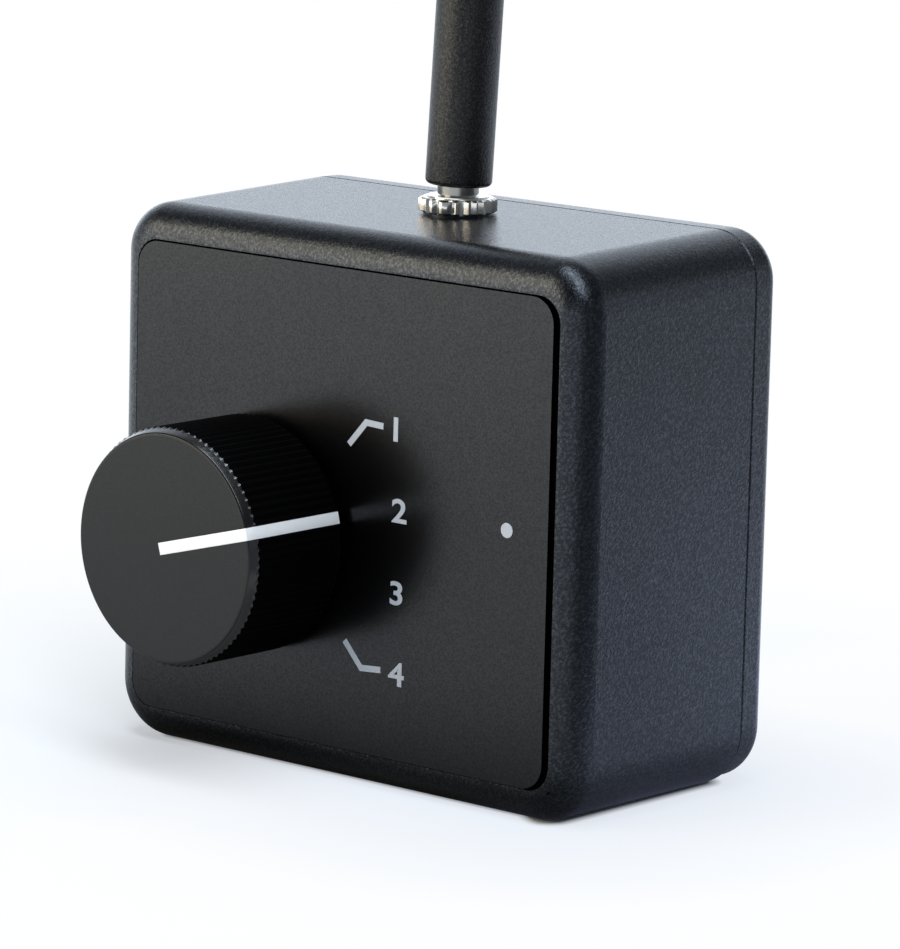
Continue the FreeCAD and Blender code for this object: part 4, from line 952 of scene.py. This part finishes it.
@dataclass
class Selector:
    """The knurled knob, its pointer line and what turns with them."""

    layout: Layout
    finisher: Finisher
    radius: float = 11.7 * MM
    knurl: float = 0.22 * MM
    teeth: int = 90
    back: float = 0.9 * MM
    back_rise: float = 0.3 * MM
    back_inset: float = 0.1 * MM
    front: float = 13.6 * MM
    face_radius: float = 11.1 * MM
    face_margin: float = 0.25 * MM
    rim_width: float = 0.12 * MM
    rim_drop: float = 0.1 * MM
    bevel: float = 0.75 * MM
    recess_radius: float = 7.6 * MM
    recess_depth: float = 4.2 * MM
    hub_radius: float = 2.9 * MM
    pointer_width: float = 1.2 * MM
    pointer_depth: float = 0.35 * MM
    pointer_slack: float = 0.015 * MM
    pointer_drop: float = 0.25 * MM
    bend_inset: float = 0.45
    bend_share: float = 0.6
    cutter_reach: float = 1.0 * MM

    def build(self, nodes: Solids) -> None:
        """Models the knob and the line, and dresses the rest.

        Args:
            nodes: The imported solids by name.
        """
        knob = self.knob()
        self.cut(knob, self.line_along_knob("channel", self.pointer_slack, self.cutter_reach))
        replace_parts(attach(knob, Body.SELECTOR.value), "knob")
        self.finisher.dress(knob, KNOB_FACE)
        self.dress_side_and_rim(knob)
        line = self.line_along_knob("pointer_inlay", 0.0)
        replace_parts(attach(line, Body.SELECTOR.value), "pointer_line")
        self.finisher.dress(line, POINTER_WHITE)
        self.finisher.dress_solids(nodes, {
            "knob_set_screw": BLACK_STEEL, "switch_shaft": STEEL, "shaft_clip": STEEL,
            "switch_rotor": ACETAL, "rotor_wipers": BRONZE, "detent_ball": STEEL,
            "detent_spring": STEEL,
        })

    def knob(self) -> bpy.types.Object:
        """Turns the knob with its hollow back and cuts the knurl.

        Returns:
            The knob.
        """
        root = self.radius - self.knurl
        low, high = self.back + self.back_rise, self.front - self.bevel - self.knurl
        bottom = self.back + self.recess_depth
        profile = [
            (self.hub_radius, bottom),
            (self.recess_radius, bottom),
            (self.recess_radius, self.back),
            (root - self.back_inset, self.back),
            (self.radius, low),
            (self.radius, high),
            (root, self.front - self.bevel),
            (self.face_radius + self.rim_width, self.front - self.rim_drop),
            (self.face_radius, self.front),
            (self.face_radius - self.face_margin, self.front),
        ]
        lathe = Lathe("knob_knurled", 2 * self.teeth).turn(profile)
        lathe.notch(low, high, root / self.radius)
        return lathe.done(self.layout.on_selector(), SOFT_EDGE, CRISP)

    def dress_side_and_rim(self, knob: bpy.types.Object) -> None:
        """Gives the knob's knurled side a darker copy of its finish with almost no sheen, which is
        painted shade, and its rim a brighter copy, which is a painted highlight.

        Args:
            knob: The finished knob.
        """
        # Material slots of the side's painted shade and the rim's painted highlight
        side, rim = 1, 2
        knob.data.materials.append(self.finisher.material(KNOB_SIDE_PAINTED_SHADE))
        knob.data.materials.append(self.finisher.material(KNOB_RIM_PAINTED_HIGHLIGHT))
        face_plane = self.layout.front - self.front
        for face in knob.data.polygons:
            if face.center.y > face_plane + self.bevel + self.knurl:
                face.material_index = side
            elif face.center.y > face_plane + self.rim_drop:
                face.material_index = rim

    def cut(self, piece: bpy.types.Object, space: bpy.types.Object) -> None:
        """Cuts a space out of a piece and removes the space's own mesh.

        Args:
            piece: The piece that is cut.
            space: The closed mesh of what comes out.
        """
        bpy.context.view_layer.objects.active = piece
        channel = piece.modifiers.new("channel", "BOOLEAN")
        channel.operation = "DIFFERENCE"
        channel.solver = "EXACT"
        channel.object = space
        bpy.ops.object.modifier_apply(modifier=channel.name)
        bpy.data.objects.remove(space)
        piece.select_set(True)
        bpy.ops.object.shade_smooth_by_angle(angle=CRISP)
        piece.select_set(False)

    def line_along_knob(self, name: str, slack: float, reach: float = 0.0) -> bpy.types.Object:
        """Shapes the line that runs from past the face's middle over the rim and down.

        Args:
            name: The piece's name.
            slack: How far it grows on every side, in metres.
            reach: How much further it stands out of the knob, in metres.

        Returns:
            The line, or with slack the space that it lies in.
        """
        deep = self.pointer_depth / 2.0
        out = reach / 2.0
        bend = self.bend_share * out
        side = self.radius - self.knurl / 2.0
        rim = self.front - self.bevel
        spots = [
            (-self.pointer_width / 2.0 - slack, self.front - deep + out),
            (self.face_radius - self.bend_inset * deep + bend, self.front - deep + out),
            (side - deep + out, rim - self.pointer_drop + bend),
            (side - deep + out, self.back - slack),
        ]
        width = self.pointer_width + 2.0 * slack
        place = self.layout.on_selector() @ Matrix.Translation((0.0, width / 2.0, 0.0)) @ UPRIGHT
        edge = 0.0 if slack else SOFT_EDGE
        return ribbon(name, spots, self.pointer_depth + 2.0 * slack + reach, width, place, edge)


@dataclass
class Switch:
    """The rotary switch, its fixings and its board, behind the front wall."""

    finisher: Finisher

    def build(self, nodes: Solids) -> None:
        """Dresses the switch's solids.

        Args:
            nodes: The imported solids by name.
        """
        self.finisher.dress_solids(nodes, {
            "switch_bushing": DIE_CAST, "lock_washer": STEEL, "switch_nut": STEEL,
            "detent_ring": ACETAL, "switch_cup": BLACK_MOULDING, "switch_base": PHENOLIC,
            "switch_contacts": BRONZE, "circuit_board": BOARD_GREEN, "coding_resistors": RESISTOR_TAN,
            "tip_wire": RED_LEAD, "ring_wire": WHITE_LEAD, "sleeve_wire": BLACK_LEAD,
        })


@dataclass
class Jack:
    """The panel jack: toothed nut and bushing outside, frame and leaves inside."""

    layout: Layout
    finisher: Finisher
    nut_radius: float = 3.9 * MM
    nut_height: float = 1.5 * MM
    teeth: int = 29
    tooth: float = 0.45 * MM
    chamfer: float = 0.18 * MM
    foot: float = 0.2 * MM
    thread_radius: float = 3.0 * MM
    thread_slack: float = 0.05 * MM

    def build(self, nodes: Solids) -> None:
        """Models what shows of the jack and dresses the rest.

        Args:
            nodes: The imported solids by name.
        """
        nut = self.nut()
        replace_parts(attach(nut, Body.CASE.value), "jack_nut")
        self.finisher.dress(nut, NICKEL)
        self.finisher.dress_solids(nodes, {
            "jack_bushing": NICKEL, "jack_frame": BLACK_MOULDING, "jack_ring_leaf": BRONZE,
            "jack_tip_leaf": BRONZE, "jack_sleeve_lug": BRONZE,
        })

    def nut(self) -> bpy.types.Object:
        """Turns the round nut and cuts its teeth.

        Returns:
            The nut.
        """
        bore = self.thread_radius + self.thread_slack
        root = self.nut_radius - self.tooth
        high = self.nut_height - self.chamfer
        profile = [
            (bore, 0.0), (root, 0.0), (self.nut_radius, self.foot), (self.nut_radius, high),
            (root, self.nut_height), (bore, self.nut_height), (bore, 0.0),
        ]
        lathe = Lathe("nut_toothed", 2 * self.teeth).turn(profile, capped=False)
        lathe.notch(self.foot, high, root / self.nut_radius)
        return lathe.done(self.layout.on_jack(), SOFT_EDGE, CRISP)


@dataclass
class Plug:
    """The plug in the jack: nickelled contacts and a moulded grip."""

    layout: Layout
    finisher: Finisher
    collar_top: float = 2.58 * MM
    grip_gap: float = 0.1 * MM
    grip_radius: float = 3.29 * MM
    grip_length: float = 21.0 * MM
    grip_edge: float = 0.55 * MM
    grip_points: int = 96
    arc_steps: int = 6
    neck_radius: float = 2.7 * MM
    neck_length: float = 2.5 * MM
    cord_hole: float = 1.5 * MM
    stem_radius: float = 2.05 * MM
    stem_slack: float = 0.18 * MM
    stem_length: float = 4.5 * MM
    lean: float = math.radians(2.2)
    heading: float = math.radians(40.0)

    def build(self, nodes: Solids) -> None:
        """Models the grip and dresses the contacts.

        Args:
            nodes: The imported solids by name.
        """
        grip = self.grip()
        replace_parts(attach(grip, Body.PLUG.value), "plug_grip")
        self.finisher.dress(grip, GRIP_GRAIN)
        # The contacts take the darker copy of the nickel, which is painted shade
        self.finisher.dress_solids(nodes, {
            "plug_sleeve": NICKEL_PAINTED_SHADE, "plug_ring": NICKEL_PAINTED_SHADE, "plug_tip": NICKEL_PAINTED_SHADE,
            "plug_insulators": BLACK_MOULDING,
        })

    def grip(self) -> bpy.types.Object:
        """Turns the grip with its rounded lower edge, neck and cord hole.

        Returns:
            The grip.
        """
        radius, edge, length = self.grip_radius, self.grip_edge, self.grip_length
        shoulder = length - self.neck_length
        hollow = self.stem_radius + self.stem_slack
        shares = [step / self.arc_steps for step in range(self.arc_steps + 1)]
        lower = [
            (radius - edge + edge * math.sin(angle), edge - edge * math.cos(angle))
            for angle in (math.pi / 2.0 * share for share in shares)
        ]
        taper = [
            (radius + (self.neck_radius - radius) * share * share * (3.0 - 2.0 * share),
             shoulder + (self.neck_length - edge) * share)
            for share in shares
        ]
        upper = [
            (self.neck_radius - edge + edge * math.cos(angle), length - edge + edge * math.sin(angle))
            for angle in (math.pi / 2.0 * share for share in shares[1:])
        ]
        inside = [(self.cord_hole, length), (self.cord_hole, self.stem_length),
                  (hollow, self.stem_length), (hollow, 0.0)]
        profile = lower + taper + upper + inside + lower[:1]
        lathe = Lathe("grip_moulded", self.grip_points).turn(profile, capped=False)
        axis = Vector((-math.sin(self.heading), math.cos(self.heading), 0.0))
        lean = Matrix.Rotation(self.lean, 4, axis)
        lift = Matrix.Translation((0.0, 0.0, self.collar_top + self.grip_gap))
        return lathe.done(self.layout.on_jack() @ lift @ lean)


# Light, floor and camera


@dataclass(frozen=True)
class Lamp:
    """A soft oblong lamp, which the camera doesn't see."""

    name: str
    spot: Point3
    size: Point
    power: float
    colour: Colour
    along: Point3
    aim: Point3 = (0.0, 0.0, 30.0 * MM)

    def hang(self) -> bpy.types.Object:
        """Hangs the lamp, aimed at the box and with its width along a direction.

        Returns:
            The lamp.
        """
        data = bpy.data.lights.new(self.name, "AREA")
        data.shape = "RECTANGLE"
        data.size, data.size_y = self.size
        data.energy = self.power
        data.color = self.colour
        lamp = bpy.data.objects.new(self.name, data)
        bpy.context.scene.collection.objects.link(lamp)
        back = (Vector(self.spot) - Vector(self.aim)).normalized()
        rise = back.cross(Vector(self.along)).normalized()
        turn = Matrix((rise.cross(back), rise, back)).transposed().to_4x4()
        lamp.matrix_world = Matrix.Translation(self.spot) @ turn
        lamp.visible_camera = False
        return lamp


WARM_KEY = Lamp(
    "warm_key", spot=(-0.5, -0.68, 0.3), size=(0.65, 0.65), power=5.0, colour=(1.0, 0.9, 0.72),
    along=(1.0, 0.0, 0.0),
)
OVERHEAD = Lamp(
    "overhead", spot=(0.31, -0.29, 0.91), size=(1.3, 0.35), power=10.0, colour=(0.84, 0.92, 1.0),
    along=(0.84, -0.31, -0.45),
)


@dataclass
class Studio:
    """A white table and backdrop under plain soft light, and the photograph's camera.

    The ceiling's ramp goes by how steeply a direction rises, and those of the front and the
    backdrop by how far it points to the backdrop.
    """

    layout: Layout
    azimuth: float = math.radians(40.445)
    elevation: float = math.radians(10.207)
    roll: float = math.radians(1.421)
    focal_pixels: float = 5490.0
    image_height: float = 949.0
    sensor: float = 36.0
    clip: Span = (0.01, 50.0)
    across: float = 11.512 * MM
    upwards: float = 29.873 * MM
    distance: float = 535.3 * MM
    table: WhiteTable = WhiteTable()
    table_size: float = 12.0
    table_drop: float = 0.02 * MM
    lamps: tuple[Lamp, ...] = (WARM_KEY, OVERHEAD)
    room_colour: Colour = (0.82, 0.9, 1.0)
    ceiling: Ramp = (1.0, 0.25, 0.12, 0.4)
    front: Ramp = (0.4, 1.0, -0.5, 0.4)
    backdrop: Ramp = (0.0, 1.1, 0.62, 0.92)
    backdrop_heading: Point3 = (-0.62, 0.73, 0.28)

    def build(self) -> None:
        """Lays the floor, hangs the lamps and sets the camera."""
        self.floor()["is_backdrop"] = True
        self.world()
        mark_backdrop(*(lamp.hang() for lamp in self.lamps))
        self.camera()

    def floor(self) -> bpy.types.Object:
        """Lays the white table under the box.

        Returns:
            The floor.
        """
        start_piece()
        bpy.ops.mesh.primitive_plane_add(size=self.table_size, location=(0.0, 0.0, -self.table_drop))
        floor = bpy.context.object
        floor.name = self.table.name
        floor.data.materials.append(self.table.material())
        floor.select_set(False)
        return floor

    def world(self) -> None:
        """Sets a white surround for the camera, and a white backdrop under a dim ceiling as light."""
        world = bpy.data.worlds.new("white_surround")
        bpy.context.scene.world = world
        tree = NodeTree(world)
        tree.tree.nodes.clear()
        heading = tree.add("TexCoord").outputs["Generated"]
        rise = tree.add("SeparateXYZ", {0: heading}).outputs["Z"]
        towards = tree.along(heading, self.backdrop_heading)
        room = tree.calculate("MULTIPLY", tree.eased(rise, self.ceiling), tree.eased(towards, self.front))
        strength = tree.calculate("ADD", room, tree.eased(towards, self.backdrop))
        light = tree.add("Background", {"Color": self.room_colour, "Strength": strength})
        white = tree.add("Background", {"Color": WHITE})
        to_camera = tree.add("LightPath").outputs["Is Camera Ray"]
        tree.add("OutputWorld", {"Surface": tree.mixed(to_camera, light.outputs[0], white.outputs[0])})

    def camera(self) -> None:
        """Sets the camera that was solved from the photograph's edges."""
        view = bpy.context.scene.view_settings
        view.view_transform = "Standard"
        sine, cosine = math.sin(self.azimuth), math.cos(self.azimuth)
        back = Vector((sine * math.cos(self.elevation), -cosine * math.cos(self.elevation),
                       math.sin(self.elevation)))
        level = Vector((cosine, sine, 0.0))
        upright = back.cross(level)
        right = math.cos(self.roll) * level + math.sin(self.roll) * upright
        up = -math.sin(self.roll) * level + math.cos(self.roll) * upright
        spot = self.across * right + self.upwards * up + self.distance * back
        spot.y += self.layout.front
        data = bpy.data.cameras.new("photo_view")
        data.sensor_width = self.sensor
        data.lens = self.focal_pixels / self.image_height * self.sensor
        data.clip_start, data.clip_end = self.clip
        camera = bpy.data.objects.new("photo_view", data)
        bpy.context.scene.collection.objects.link(camera)
        turn = Matrix((right, up, back)).transposed().to_4x4()
        camera.matrix_world = Matrix.Translation(spot) @ turn
        bpy.context.scene.camera = camera


def main() -> None:
    """Builds the sub-assemblies in order."""
    logging.basicConfig(level=logging.INFO, format="%(name)s: %(message)s")
    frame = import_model()
    bpy.ops.object.select_all(action="DESELECT")
    layout, finisher = Layout.of_frame(), Finisher()
    Case(layout, finisher).build(frame["nodes"])
    Selector(layout, finisher).build(frame["nodes"])
    Switch(finisher).build(frame["nodes"])
    Jack(layout, finisher).build(frame["nodes"])
    Plug(layout, finisher).build(frame["nodes"])
    Studio(layout).build()
    bpy.context.view_layer.update()
    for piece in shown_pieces():
        log.info("%s: %d faces", piece.name, len(piece.data.polygons))


if __name__ == "__main__":
    main()
